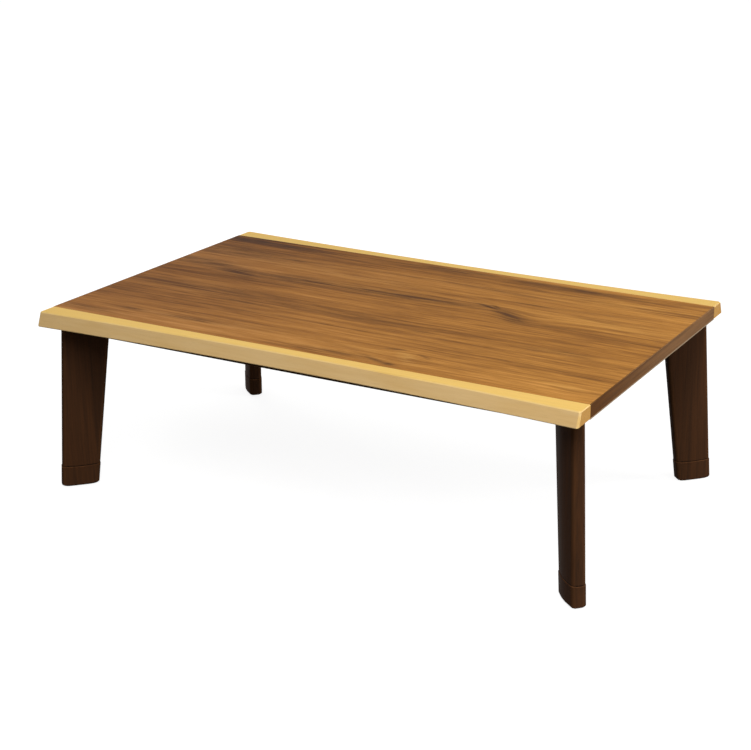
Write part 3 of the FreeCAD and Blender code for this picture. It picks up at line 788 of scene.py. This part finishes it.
@dataclass(frozen=True)
class Metal(Finish):
    """Bare, plated or painted metal with a rolled or cast surface."""

    colour: Colour
    stain: Colour
    metallic: float = 1.0
    roughness: float = 0.3
    brush: Grain | None = None
    mottle: float = 120.0
    stain_span: Span = (0.42, 0.78)
    cloud_roughness: float = 0.20
    line_roughness: float = 0.15
    line_scale: float = 900.0
    brushed_scale: float = 14.0
    depth: float = 0.03 * MILLIMETRE

    def shader(self, sheet: FinishSheet) -> Wire:
        """Fill the tree.

        Args:
            sheet: The tree.

        Returns:
            The shader.
        """
        scales = [self.line_scale] * 3
        if self.brush is not None:
            scales[self.brush.value] = self.brushed_scale
        place = sheet.point(sheet.x * scales[0], sheet.y * scales[1], sheet.z * scales[2])
        lines = sheet.noise(place, 3.0, 0.6)
        cloud = sheet.noise(sheet.place, 3.0, 0.55, self.mottle)
        roughness = self.roughness + (cloud - MEAN) * self.cloud_roughness
        return sheet.surface(
            Base_Color=sheet.mix(self.colour, self.stain, cloud.between(*self.stain_span)),
            Metallic=self.metallic,
            Roughness=roughness + (lines - MEAN) * self.line_roughness,
            Normal=sheet.bump(lines, self.depth, 0.5),
        )


@dataclass(frozen=True)
class Moulding(Finish):
    """Moulded plastic, rubber or ceramic with a fine skin."""

    colour: Colour
    dust: Colour
    roughness: float = 0.5
    gloss: float = 0.4
    skin_scale: float = 1600.0
    cloud_scale: float = 30.0
    cloud_roughness: float = 0.20
    dust_span: Span = (0.50, 0.85)
    dust_share: float = 0.5
    depth: float = 0.06 * MILLIMETRE

    def shader(self, sheet: FinishSheet) -> Wire:
        """Fill the tree.

        Args:
            sheet: The tree.

        Returns:
            The shader.
        """
        skin = sheet.noise(sheet.place, 2.0, 0.5, self.skin_scale)
        cloud = sheet.noise(sheet.place, 3.0, 0.6, self.cloud_scale)
        return sheet.surface(
            Base_Color=sheet.mix(self.colour, self.dust, cloud.between(*self.dust_span) * self.dust_share),
            Roughness=self.roughness + (cloud - MEAN) * self.cloud_roughness,
            Specular_IOR_Level=self.gloss,
            Normal=sheet.bump(skin, self.depth, 0.5),
        )


@dataclass(frozen=True)
class Felt(Finish):
    """Pressed wool felt with loose fibres."""

    pale: Colour = (0.20, 0.145, 0.105)
    dark: Colour = (0.085, 0.058, 0.042)
    hair_scale: float = 1500.0
    tuft_scale: float = 260.0
    pile_span: Span = (0.38, 0.64)
    depth: float = 0.4 * MILLIMETRE

    def shader(self, sheet: FinishSheet) -> Wire:
        """Fill the tree.

        Args:
            sheet: The tree.

        Returns:
            The shader.
        """
        hairs = sheet.noise(sheet.place, 5.0, 0.75, self.hair_scale)
        tufts = sheet.noise(sheet.place, 3.0, 0.6, self.tuft_scale)
        return sheet.surface(
            Base_Color=sheet.mix(self.dark, self.pale, (hairs * 0.6 + tufts * 0.4).between(*self.pile_span)),
            Roughness=0.92 + hairs * 0.06,
            Sheen_Weight=0.35,
            Sheen_Roughness=0.5,
            Normal=sheet.bump(hairs * 0.7 + tufts * 0.3, self.depth, 0.9),
        )


@dataclass(frozen=True)
class MilkyQuartz(Finish):
    """Fused quartz with a milky bloom and drawn lines along the tube."""

    colour: Colour = (0.90, 0.89, 0.86)
    milk: Colour = (0.74, 0.72, 0.68)
    bloom: Layer = Layer(30.0, 240.0, 3.0, 0.6)
    bloom_span: Span = (0.4, 0.8)
    depth: float = 0.05 * MILLIMETRE

    def shader(self, sheet: FinishSheet) -> Wire:
        """Fill the tree.

        Args:
            sheet: The tree.

        Returns:
            The shader.
        """
        bloom = sheet.drawn(self.bloom, sheet.x, sheet.y, sheet.z)
        return sheet.surface(
            Base_Color=sheet.mix(self.colour, self.milk, bloom.between(*self.bloom_span)),
            Roughness=0.22 + bloom * 0.2,
            Transmission_Weight=0.75,
            IOR=1.46,
            Normal=sheet.bump(bloom, self.depth, 0.4),
        )


def stained_timber(grain: Grain) -> Timber:
    """The dark stained wood of the legs, feet and aprons, with its fibres along one axis and painted shade
    laid on it.
    """
    return Timber(
        # the paler edge colour is rubbed wear with a painted highlight; the legs get painted shade
        grain, (0.098, 0.038, 0.0150), (0.028, 0.0165, 0.0105), (0.19, 0.078, 0.028), 0.42,
        contrast=0.7, gloss=0.005, painted_leg_shade=PaintedLegShade(),
    )


def slot_finishes() -> dict[str, Finish]:
    """The finish of each material slot of the record, dark stained wood apart."""
    return {
        "walnut_veneer": WalnutVeneer(),
        "walnut_edge": Timber(
            # the paler edge colour is rubbed wear with a painted highlight on the rounded edges
            Grain.Y, (0.300, 0.150, 0.060), (0.130, 0.062, 0.024), (0.42, 0.22, 0.08), 0.6, gloss=0.01,
            # painted shade: the end bands darker towards the front
            painted_near_shade=(0.44, 0.32, 0.16),
        ),
        "pale_hardwood": Timber(
            # the paler edge colour is rubbed wear with a painted highlight
            Grain.X, (0.93, 0.62, 0.18), (0.80, 0.50, 0.13), (0.93, 0.72, 0.42), 0.35, 6.0 * MILLIMETRE, 0.7,
            # painted cooler light: the front and back faces tinted bluer and slightly darker
            gloss=0.02, end_colour=(0.54, 0.28, 0.074), painted_flank_light=(0.89, 0.89, 1.30),
        ),
        "core_wood": SpeckledBoard(),
        "backing_board": Timber(
            Grain.X, (0.40, 0.29, 0.19), (0.29, 0.20, 0.12), (0.5, 0.4, 0.3), roughness=0.62, gloss=0.03
        ),
        "frame_wood": Timber(
            Grain.Z, (0.105, 0.045, 0.024), (0.05, 0.021, 0.011), (0.2, 0.12, 0.07), roughness=0.7, gloss=0.03
        ),
        "plated_steel": Metal((0.60, 0.60, 0.58), (0.42, 0.41, 0.38), roughness=0.34),
        "pad_rubber": Moulding((0.030, 0.030, 0.031), (0.075, 0.072, 0.068), roughness=0.75, gloss=0.25),
        "foot_felt": Felt(),
        "black_steel": Metal((0.028, 0.028, 0.029), (0.050, 0.048, 0.046), metallic=0.0, roughness=0.46),
        "black_plastic": Moulding((0.028, 0.028, 0.029), (0.055, 0.054, 0.052)),
        "bright_aluminium": Metal((0.86, 0.86, 0.87), (0.70, 0.70, 0.72), 1.0, 0.2, Grain.X, mottle=18.0),
        "quartz": MilkyQuartz(),
        "element_wire": Metal((0.26, 0.24, 0.22), (0.13, 0.115, 0.10), roughness=0.55, mottle=400.0),
        "ceramic": Moulding((0.80, 0.77, 0.70), (0.60, 0.57, 0.50), roughness=0.62, gloss=0.35),
        "motor_steel": Metal((0.52, 0.52, 0.51), (0.38, 0.37, 0.35), brush=Grain.Z),
        "pale_plastic": Moulding((0.76, 0.73, 0.64), (0.58, 0.55, 0.47), roughness=0.45),
        "pin_brass": Metal((0.78, 0.57, 0.25), (0.50, 0.34, 0.14), roughness=0.28, brush=Grain.X),
    }


class FinishShelf:
    """The solids of the frame and all finishes, by material slot and by the run of the grain."""

    def __init__(self, frame: Mapping[str, Any]) -> None:
        """Build every finish that the record names.

        Args:
            frame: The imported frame.
        """
        self.nodes: Mapping[str, bpy.types.Object] = frame["nodes"]
        self.slots = {part["node"]: part["material_slot"] for part in frame["record"]["subparts"]}
        self.made = {slot: finish.build(slot + "_finish") for slot, finish in slot_finishes().items()}
        self.stained = {
            grain: stained_timber(grain).build("stained_wood_along_" + grain.name.lower()) for grain in Grain
        }

    def dress(self, names: Sequence[str], grain: Grain = Grain.Z) -> None:
        """Give solids their finish.

        Args:
            names: The nodes to dress.
            grain: The run of the fibres where the slot is the dark stained wood.
        """
        for name in names:
            slot = self.slots[name]
            material = self.stained[grain] if slot == "dark_stained_wood" else self.made[slot]
            for holder in self.nodes[name].material_slots:
                holder.material = material
            log.info("dressed %s with %s", name, material.name)


def settle(piece: bpy.types.Object, body: str, replaced: Sequence[str]) -> None:
    """Tie a finished piece to its body and the nodes that it stands for.

    Args:
        piece: The piece, at the origin.
        body: The CAD body that it rides on.
        replaced: The CAD nodes that it stands for.
    """
    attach(piece, body)
    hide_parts(*replaced)
    log.info("%s: %d faces, rides on %s", piece.name, len(piece.data.polygons), body)


def link_mesh(name: str, mesh: bpy.types.Mesh, material: bpy.types.Material) -> bpy.types.Object:
    """Put a mesh in the scene.

    Args:
        name: The piece's name.
        mesh: Its mesh, in the shared frame.
        material: Its finish.

    Returns:
        The new object.
    """
    mesh.materials.clear()
    mesh.materials.append(material)
    piece = bpy.data.objects.new(name, mesh)
    bpy.context.scene.collection.objects.link(piece)
    return piece


def extent(places: Sequence[Vector]) -> tuple[Vector, Vector]:
    """The lowest and highest corner of some places."""
    low = Vector([min(place[axis] for place in places) for axis in range(3)])
    high = Vector([max(place[axis] for place in places) for axis in range(3)])
    return low, high


def island_boxes(node: bpy.types.Object) -> list[tuple[Vector, Vector]]:
    """The boxes of the separate solids of a CAD node.

    Args:
        node: The CAD node's object.

    Returns:
        The lowest and highest corner of each solid.
    """
    copy = bmesh.new()
    copy.from_mesh(node.data)
    bmesh.ops.remove_doubles(copy, verts=copy.verts, dist=0.01 * MILLIMETRE)
    left = set(copy.verts)
    boxes = []
    while left:
        stack = [next(iter(left))]
        island = set(stack)
        while stack:
            for edge in stack.pop().link_edges:
                for vert in edge.verts:
                    if vert not in island:
                        island.add(vert)
                        stack.append(vert)
        left -= island
        boxes.append(extent([vert.co for vert in island]))
    copy.free()
    return sorted(boxes, key=lambda box: tuple(round(value, 5) for value in box[0]))


def mesh_of(name: str, shape: bmesh.types.BMesh) -> bpy.types.Mesh:
    """Turn a closed shape's faces outwards and make it a mesh.

    Args:
        name: The mesh's name.
        shape: The shape, which is freed.

    Returns:
        The mesh.
    """
    bmesh.ops.recalc_face_normals(shape, faces=shape.faces)
    mesh = bpy.data.meshes.new(name)
    shape.to_mesh(mesh)
    shape.free()
    return mesh


class GrowthSheet(NodeSheet):
    """A Geometry Nodes tree with named inputs that grows one kind of piece."""

    sockets: Mapping[type, str] = {int: "NodeSocketInt", float: "NodeSocketFloat", tuple: "NodeSocketVector"}

    def __init__(self, name: str, values: Mapping[str, Any]) -> None:
        """Make the tree and its inputs.

        Args:
            name: The tree's name.
            values: The number or place that each input gets, by the input's name.
        """
        super().__init__(bpy.data.node_groups.new(name, "GeometryNodeTree"))
        faces = self.tree.interface
        faces.new_socket("Geometry", in_out="OUTPUT", socket_type="NodeSocketGeometry")
        self.values: dict[str, Any] = {}
        for label, value in values.items():
            socket = faces.new_socket(label, in_out="INPUT", socket_type=self.sockets[type(value)])
            self.values[socket.identifier] = value
        entry = self.node("NodeGroupInput")
        self.given = {label: entry.beside(label) for label in values}

    def rod(self, path: Wire) -> Wire:
        """Sweep a smooth round section along a curve, by the inputs Radius and Sides.

        Args:
            path: The curve.

        Returns:
            The swept mesh, closed at both ends.
        """
        feeds = {"Resolution": self.given["Sides"], "Radius": self.given["Radius"]}
        ring = self.node("GeometryNodeCurvePrimitiveCircle", feeds=feeds)
        feeds = {"Curve": path, "Profile Curve": ring, "Fill Caps": True}
        swept = self.node("GeometryNodeCurveToMesh", feeds=feeds)
        return self.node("GeometryNodeSetShadeSmooth", feeds={0: swept, "Shade Smooth": True})

    def row(self, mesh: Wire) -> Wire:
        """Repeat a mesh in a straight row, by the inputs Count, Start and Spacing.

        Args:
            mesh: The mesh.

        Returns:
            Its copies.
        """
        given = self.given
        feeds = {"Count": given["Count"], "Start Location": given["Start"], "Offset": given["Spacing"]}
        spots = self.node("GeometryNodeMeshLine", feeds=feeds)
        return self.node("GeometryNodeInstanceOnPoints", feeds={"Points": spots, "Instance": mesh})

    def grow(self, name: str, result: Wire, material: bpy.types.Material) -> bpy.types.Object:
        """Close the tree and turn it into a plain piece.

        Args:
            name: The piece's name.
            result: The geometry that the tree makes.
            material: The piece's finish.

        Returns:
            The piece, with its place in its mesh and no modifier.
        """
        real = self.node("GeometryNodeRealizeInstances", feeds={"Geometry": result})
        dressed = self.node("GeometryNodeSetMaterial", feeds={"Geometry": real, "Material": material})
        self.node("NodeGroupOutput", feeds={"Geometry": dressed})
        seed = link_mesh(name + "_seed", bpy.data.meshes.new(name + "_seed"), material)
        modifier = seed.modifiers.new("grow", "NODES")
        modifier.node_group = self.tree
        for key, value in self.values.items():
            modifier[key] = value
        graph = bpy.context.evaluated_depsgraph_get()
        mesh = bpy.data.meshes.new_from_object(seed.evaluated_get(graph), depsgraph=graph)
        seed.modifiers.remove(modifier)
        bpy.data.objects.remove(seed)
        mesh.name = name
        return link_mesh(name, mesh, material)


@dataclass
class TableTop:
    """The loose board: veneered skin, pale strips, walnut bands, core and backing."""

    strips: tuple[str, ...] = ("front_edge_strip", "back_edge_strip")
    bands: tuple[str, ...] = ("left_end_band", "right_end_band")
    boards: tuple[str, ...] = ("top_panel", "core_board", "bottom_panel")

    def build(self, shelf: FinishShelf) -> None:
        """Dress the board."""
        shelf.dress(self.boards + self.bands + self.strips)


@dataclass
class RubberPads:
    """The ribbed rubber pads between the aprons and the board, in place of their plain blocks."""

    edge_round: float = 0.9 * MILLIMETRE
    rib_pitch: float = 5.0 * MILLIMETRE
    rib_depth: float = 0.5 * MILLIMETRE
    round_steps: int = 3
    slack: float = 0.01  # a share of the distance from a rib to its groove

    def _pad(self, low: Vector, high: Vector) -> bpy.types.Mesh:
        """Make one pad with cross ribs on its upper face.

        Args:
            low: Its lowest corner.
            high: Its highest corner.

        Returns:
            The pad's mesh.
        """
        size = high - low
        long_axis = 0 if size.x > size.y else 1
        length = size[long_axis]
        along = Vector()
        along[long_axis] = 1.0
        cuts = 2 * round(length / self.rib_pitch)
        block = bmesh.new()
        bmesh.ops.create_cube(block, size=1.0)
        bmesh.ops.scale(block, vec=size, verts=block.verts)
        bmesh.ops.translate(block, vec=(low + high) / 2, verts=block.verts)
        bmesh.ops.bevel(
            block,
            geom=block.edges[:],
            offset=self.edge_round,
            segments=self.round_steps,
            profile=0.5,
            affect="EDGES",
        )
        for number in range(1, cuts):
            spot = low + along * (length * number / cuts)
            parts = block.verts[:] + block.edges[:] + block.faces[:]
            bmesh.ops.bisect_plane(block, geom=parts, plane_co=spot, plane_no=along)
        top = high.z - self.rib_depth
        for vert in block.verts:
            place = (vert.co - low).dot(along) / length * cuts
            number = round(place)
            if vert.co.z > top and number % 2 and abs(place - number) < self.slack:
                vert.co.z -= self.rib_depth
        return mesh_of("pad", block)

    def build(self, shelf: FinishShelf) -> None:
        """Make all pads as one piece."""
        shape = bmesh.new()
        for low, high in island_boxes(shelf.nodes["frame_pads"]):
            pad = self._pad(low, high)
            shape.from_mesh(pad)
            bpy.data.meshes.remove(pad)
        piece = link_mesh("ribbed_pads", mesh_of("ribbed_pads", shape), shelf.made["pad_rubber"])
        settle(piece, "frame", ("frame_pads",))


@dataclass
class Underframe:
    """Aprons, corner blocks, bearers and rails with the bolts that hold the legs."""

    pads: RubberPads

    def build(self, shelf: FinishShelf) -> None:
        """Dress the frame and lay the pads."""
        shelf.dress(("front_apron", "back_apron"), Grain.X)
        shelf.dress(("left_apron", "right_apron"), Grain.Y)
        shelf.dress([corner + "_corner_block" for corner in CORNERS])
        shelf.dress(("left_heater_bearer", "right_heater_bearer", "front_heater_rail", "back_heater_rail"))
        shelf.dress(("leg_bolts", "leg_washers"))
        self.pads.build(shelf)


@dataclass
class FeltFoot:
    """A felt pad under a foot: a soft-edged slab whose sides bulge and whose rim is uneven."""

    rows: int = 5
    ring_steps: int = 72
    bulge: float = 0.5 * MILLIMETRE
    fray: float = 0.18 * MILLIMETRE
    corner_power: float = 5.0
    seed: int = 11

    def _rim(self, node: bpy.types.Object) -> tuple[Vector, list[tuple[Vector, Vector]]]:
        """The rim of a pad in plan.

        Args:
            node: The CAD pad.

        Returns:
            The pad's middle, and for each place on the rim the place and the way outwards.
        """
        places = [vert.co for vert in node.data.vertices]
        low, high = extent(places)
        middle = Vector(((low.x + high.x) / 2, (low.y + high.y) / 2, 0.0))
        u = Vector((math.copysign(1, middle.x), math.copysign(1, middle.y), 0.0)).normalized()
        v = Vector((-u.y, u.x, 0.0))
        half_u, half_v = (max(abs((place - middle).dot(way)) for place in places) for way in (u, v))
        power = 2 / self.corner_power
        rim = []
        for step in range(self.ring_steps):
            angle = math.tau * step / self.ring_steps
            c, s = math.cos(angle), math.sin(angle)
            place_u = math.copysign(abs(c) ** power, c) * half_u
            place_v = math.copysign(abs(s) ** power, s) * half_v
            out = (u * (c / half_u) + v * (s / half_v)).normalized()
            rim.append((middle + u * place_u + v * place_v, out))
        return middle, rim

    def build(self, corner: str, shelf: FinishShelf) -> None:
        """Make the pad of one corner.

        Args:
            corner: The corner's name.
            shelf: The solids and finishes.
        """
        middle, rim = self._rim(shelf.nodes[corner + "_felt_pad"])
        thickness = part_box(corner + "_felt_pad")[1].z
        chance = random.Random(self.seed)
        shape = bmesh.new()
        rings = []
        for row in range(self.rows):
            share = row / (self.rows - 1)
            inset = self.bulge * (2 * share - 1) ** 2
            ring = []
            for place, out in rim:
                spot = place - out * (inset + self.fray * chance.random())
                ring.append(shape.verts.new((spot.x, spot.y, thickness * share)))
            rings.append(ring)
        pairs = [(step, (step + 1) % self.ring_steps) for step in range(self.ring_steps)]
        for lower, upper in zip(rings, rings[1:]):
            for step, after in pairs:
                shape.faces.new((lower[step], lower[after], upper[after], upper[step]))
        for ring, height in ((rings[0], 0.0), (rings[-1], thickness)):
            centre = shape.verts.new((middle.x, middle.y, height))
            for step, after in pairs:
                shape.faces.new((ring[step], ring[after], centre))
        mesh = mesh_of(corner + "_felt", shape)
        for polygon in mesh.polygons:
            polygon.use_smooth = len(polygon.vertices) == 4
        piece = link_mesh(corner + "_felt", mesh, shelf.made["foot_felt"])
        settle(piece, corner + "_foot", (corner + "_felt_pad",))


@dataclass
class Legs:
    """The tapered legs with their extension feet and felts."""

    felt: FeltFoot

    def build(self, shelf: FinishShelf) -> None:
        """Dress the legs and feet and make the felts."""
        for corner in CORNERS:
            shelf.dress((corner + "_leg", corner + "_extension_foot", corner + "_foot_tenon"))
            self.felt.build(corner, shelf)


@dataclass
class HeatingCoils:
    """The wound heating wires inside the quartz tubes."""

    wire_radius: float = 0.45 * MILLIMETRE
    pitch: float = 2.6 * MILLIMETRE
    turn_steps: int = 14
    wire_sides: int = 6

    def build(self, shelf: FinishShelf) -> None:
        """Wind a coil into the place of each plain element.

        Args:
            shelf: The solids and finishes.
        """
        boxes = island_boxes(shelf.nodes["heating_elements"])
        low, high = boxes[0]
        middle = (low + high) / 2
        length = high.x - low.x
        sheet = GrowthSheet(
            "coil_winding",
            {
                "Length": length,
                "Coil Radius": (high.z - low.z) / 2 - self.wire_radius,
                "Turns": length / self.pitch,
                "Turn Steps": self.turn_steps,
                "Radius": self.wire_radius,
                "Sides": self.wire_sides,
                "Count": len(boxes),
                "Start": (low.x, middle.y, middle.z),
                "Spacing": (0.0, boxes[1][0].y - low.y, 0.0),
            },
        )
        given = sheet.given
        helix = sheet.node(
            "GeometryNodeCurveSpiral",
            feeds={
                "Resolution": given["Turn Steps"],
                "Rotations": given["Turns"],
                "Start Radius": given["Coil Radius"],
                "End Radius": given["Coil Radius"],
                "Height": given["Length"],
            },
        )
        lying = {"Geometry": sheet.rod(helix), "Rotation": (0.0, math.pi / 2, 0.0)}
        coils = sheet.row(sheet.node("GeometryNodeTransform", feeds=lying))
        piece = sheet.grow("heating_coils", coils, shelf.made["element_wire"])
        settle(piece, "frame", ("heating_elements",))


@dataclass
class GrilleWires:
    """Round drawn wires in place of the plain hexagonal and square ones."""

    sides: int = 16

    def _lay(self, name: str, replaced: str, shelf: FinishShelf) -> None:
        """Lay one row of wires.

        Args:
            name: The piece's name.
            replaced: The CAD node that they stand for.
            shelf: The solids and finishes.
        """
        boxes = island_boxes(shelf.nodes[replaced])
        low, high = boxes[0]
        size = high - low
        long_axis = 0 if size.x > size.y else 1
        start = (low + high) / 2
        start[long_axis] = low[long_axis]
        run = Vector()
        run[long_axis] = size[long_axis]
        sheet = GrowthSheet(
            "grille_wires",
            {
                "Count": len(boxes),
                "Start": tuple(start),
                "Spacing": tuple(boxes[1][0] - low),
                "Run": tuple(run),
                "Radius": size.z / 2,
                "Sides": self.sides,
            },
        )
        feeds = {"Start": (0.0, 0.0, 0.0), "End": sheet.given["Run"]}
        wire = sheet.rod(sheet.node("GeometryNodeCurvePrimitiveLine", feeds=feeds))
        piece = sheet.grow(name, sheet.row(wire), shelf.made["black_steel"])
        settle(piece, "frame", (replaced,))

    def build(self, shelf: FinishShelf) -> None:
        """Lay the long wires and the two bars."""
        self._lay("grille_rods", "guard_wires", shelf)
        self._lay("grille_cross_rods", "guard_bars", shelf)


@dataclass
class HeaterUnit:
    """The heater below the board: pan, bezel, grille, reflector, tubes, fan and fittings."""

    coils: HeatingCoils
    wires: GrilleWires
    metalwork: tuple[str, ...] = (
        "heater_housing", "guard_rim", "heater_reflector", "fan_motor", "motor_bracket", "fan_shaft",
        "heater_screws", "inlet_pins", "thermostat",
    )
    mouldings: tuple[str, ...] = (
        "heater_bezel", "fan_rotor", "power_inlet", "terminal_block", "tube_holders", "quartz_tubes",
    )

    def build(self, shelf: FinishShelf) -> None:
        """Dress the heater and add its coils and wires."""
        shelf.dress(self.metalwork + self.mouldings)
        self.coils.build(shelf)
        self.wires.build(shelf)


@dataclass(frozen=True)
class Lamp:
    """A square soft lamp: its place, where it points, its side, its power and whether gloss mirrors it."""

    name: str
    place: tuple[float, float, float]
    aim: tuple[float, float, float]
    side: float
    power: float
    mirrored: bool = True

    def hang(self) -> None:
        """Put the lamp in the scene."""
        data = bpy.data.lights.new(self.name, "AREA")
        data.shape = "SQUARE"
        data.size = self.side
        data.energy = self.power
        lamp = bpy.data.objects.new(self.name, data)
        lamp.location = self.place
        lamp.visible_glossy = self.mirrored
        lamp.rotation_euler = (Vector(self.aim) - Vector(self.place)).to_track_quat("-Z", "Y").to_euler()
        bpy.context.scene.collection.objects.link(lamp)


@dataclass
class Studio:
    """The pale floor, the soft light and the camera."""

    lamps: tuple[Lamp, ...] = (
        Lamp("key_lamp", (1.0, -2.0, 2.6), (0.0, 0.0, 0.4), 1.5, 46.0),
        Lamp("top_lamp", (-0.6, 0.6, 2.8), (-0.1, 0.0, 0.4), 1.8, 12.0),
        Lamp("back_lamp", (-2.6, 1.8, 1.1), (0.0, 0.0, 0.3), 1.5, 18.0, mirrored=False),
        Lamp("side_lamp", (2.6, 1.2, 1.7), (0.1, 0.0, 0.4), 1.0, 26.0),
        Lamp("low_lamp", (3.2, -0.9, 0.9), (0.2, 0.0, 0.2), 0.9, 30.0),
    )
    sky_level: float = 0.24
    sky_seen: float = 1.0
    floor_size: float = 90.0
    floor_colour: Colour = (0.18, 0.18, 0.18)
    shadow_colour: Colour = (0.34, 0.34, 0.34)
    glow_near: Colour = (0.86, 0.86, 0.86)
    glow_far: Colour = (0.93, 0.93, 0.93)
    glow_span: Span = (1.4, 8.0)  # squares of the distance from the table's middle
    sensor: float = 36.0
    photo_width: float = 751.0
    focal_pixels: float = 1590.1
    shift_x: float = -0.1850
    camera_place: tuple[float, float, float] = (1.8047, -3.0537, 1.5510)
    yaw: float = 25.747
    pitch: float = 19.852
    roll: float = 0.829
    sight: float = 200.0

    def _world(self) -> None:
        """An even sky for the light, white where the camera or a mirror looks at it."""
        world = bpy.data.worlds.new("studio_sky")
        world.use_nodes = True
        sheet = NodeSheet(world.node_tree)
        level = self._seen(sheet) * (self.sky_seen - self.sky_level) + self.sky_level
        glow = sheet.node("ShaderNodeBackground", feeds={"Color": (1.0, 1.0, 1.0), "Strength": level})
        sheet.node("ShaderNodeOutputWorld", feeds={"Surface": glow})
        bpy.context.scene.world = world

    @staticmethod
    def _seen(sheet: NodeSheet) -> Wire:
        """1 where the camera, a mirror or glass looks, and 0 for light."""
        camera = sheet.node("ShaderNodeLightPath", output="Is Camera Ray")
        return camera.most(camera.beside("Is Glossy Ray")).most(camera.beside("Is Transmission Ray"))

    def _floor(self) -> None:
        """A wide pale floor that keeps the table's shadow."""
        bpy.ops.mesh.primitive_plane_add(size=self.floor_size)
        floor = bpy.context.active_object
        floor.name = "studio_floor"
        sheet = FinishSheet("studio_floor_paper")
        paper = sheet.node("ShaderNodeBsdfDiffuse", feeds={"Color": self.floor_colour})
        lit = sheet.node("ShaderNodeBsdfDiffuse", feeds={"Color": self.shadow_colour})
        away = (sheet.x * sheet.x + sheet.y * sheet.y).between(*self.glow_span)
        tone = sheet.mix(self.glow_near, self.glow_far, away)
        glow = sheet.node("ShaderNodeEmission", feeds={"Color": tone, "Strength": 1.0})
        shown = sheet.node("ShaderNodeAddShader", feeds={0: lit, 1: glow})
        shader = sheet.node("ShaderNodeMixShader", feeds={0: self._seen(sheet), 1: paper, 2: shown})
        floor.data.materials.append(sheet.close(shader))

    def _camera(self) -> None:
        """The camera of the photograph."""
        data = bpy.data.cameras.new("photo_camera")
        data.sensor_width = self.sensor
        data.lens = self.focal_pixels / self.photo_width * self.sensor
        data.shift_x = self.shift_x
        data.clip_end = self.sight
        camera = bpy.data.objects.new("photo_camera", data)
        yaw, pitch, roll = (math.radians(value) for value in (self.yaw, self.pitch, self.roll))
        ahead = Vector((-math.sin(yaw) * math.cos(pitch), math.cos(yaw) * math.cos(pitch), -math.sin(pitch)))
        level = Vector((math.cos(yaw), math.sin(yaw), 0.0))
        up = level.cross(ahead)
        right = level * math.cos(roll) + up * math.sin(roll)
        top = up * math.cos(roll) - level * math.sin(roll)
        turn = Matrix((right, top, -ahead)).transposed()
        camera.matrix_world = Matrix.Translation(self.camera_place) @ turn.to_4x4()
        bpy.context.scene.collection.objects.link(camera)
        bpy.context.scene.camera = camera

    def build(self) -> None:
        """Set the stage."""
        bpy.context.scene.view_settings.view_transform = "Standard"
        self._world()
        self._floor()
        for lamp in self.lamps:
            lamp.hang()
        self._camera()


def main() -> None:
    """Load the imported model, set the stage and build the sub-assemblies in order."""
    logging.basicConfig(level=logging.INFO, format="%(name)s: %(message)s")
    for item in list(bpy.data.objects):
        bpy.data.objects.remove(item)
    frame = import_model()
    Studio().build()
    shelf = FinishShelf(frame)
    TableTop().build(shelf)
    Underframe(RubberPads()).build(shelf)
    Legs(FeltFoot()).build(shelf)
    HeaterUnit(HeatingCoils(), GrilleWires()).build(shelf)


if __name__ == "__main__":
    main()
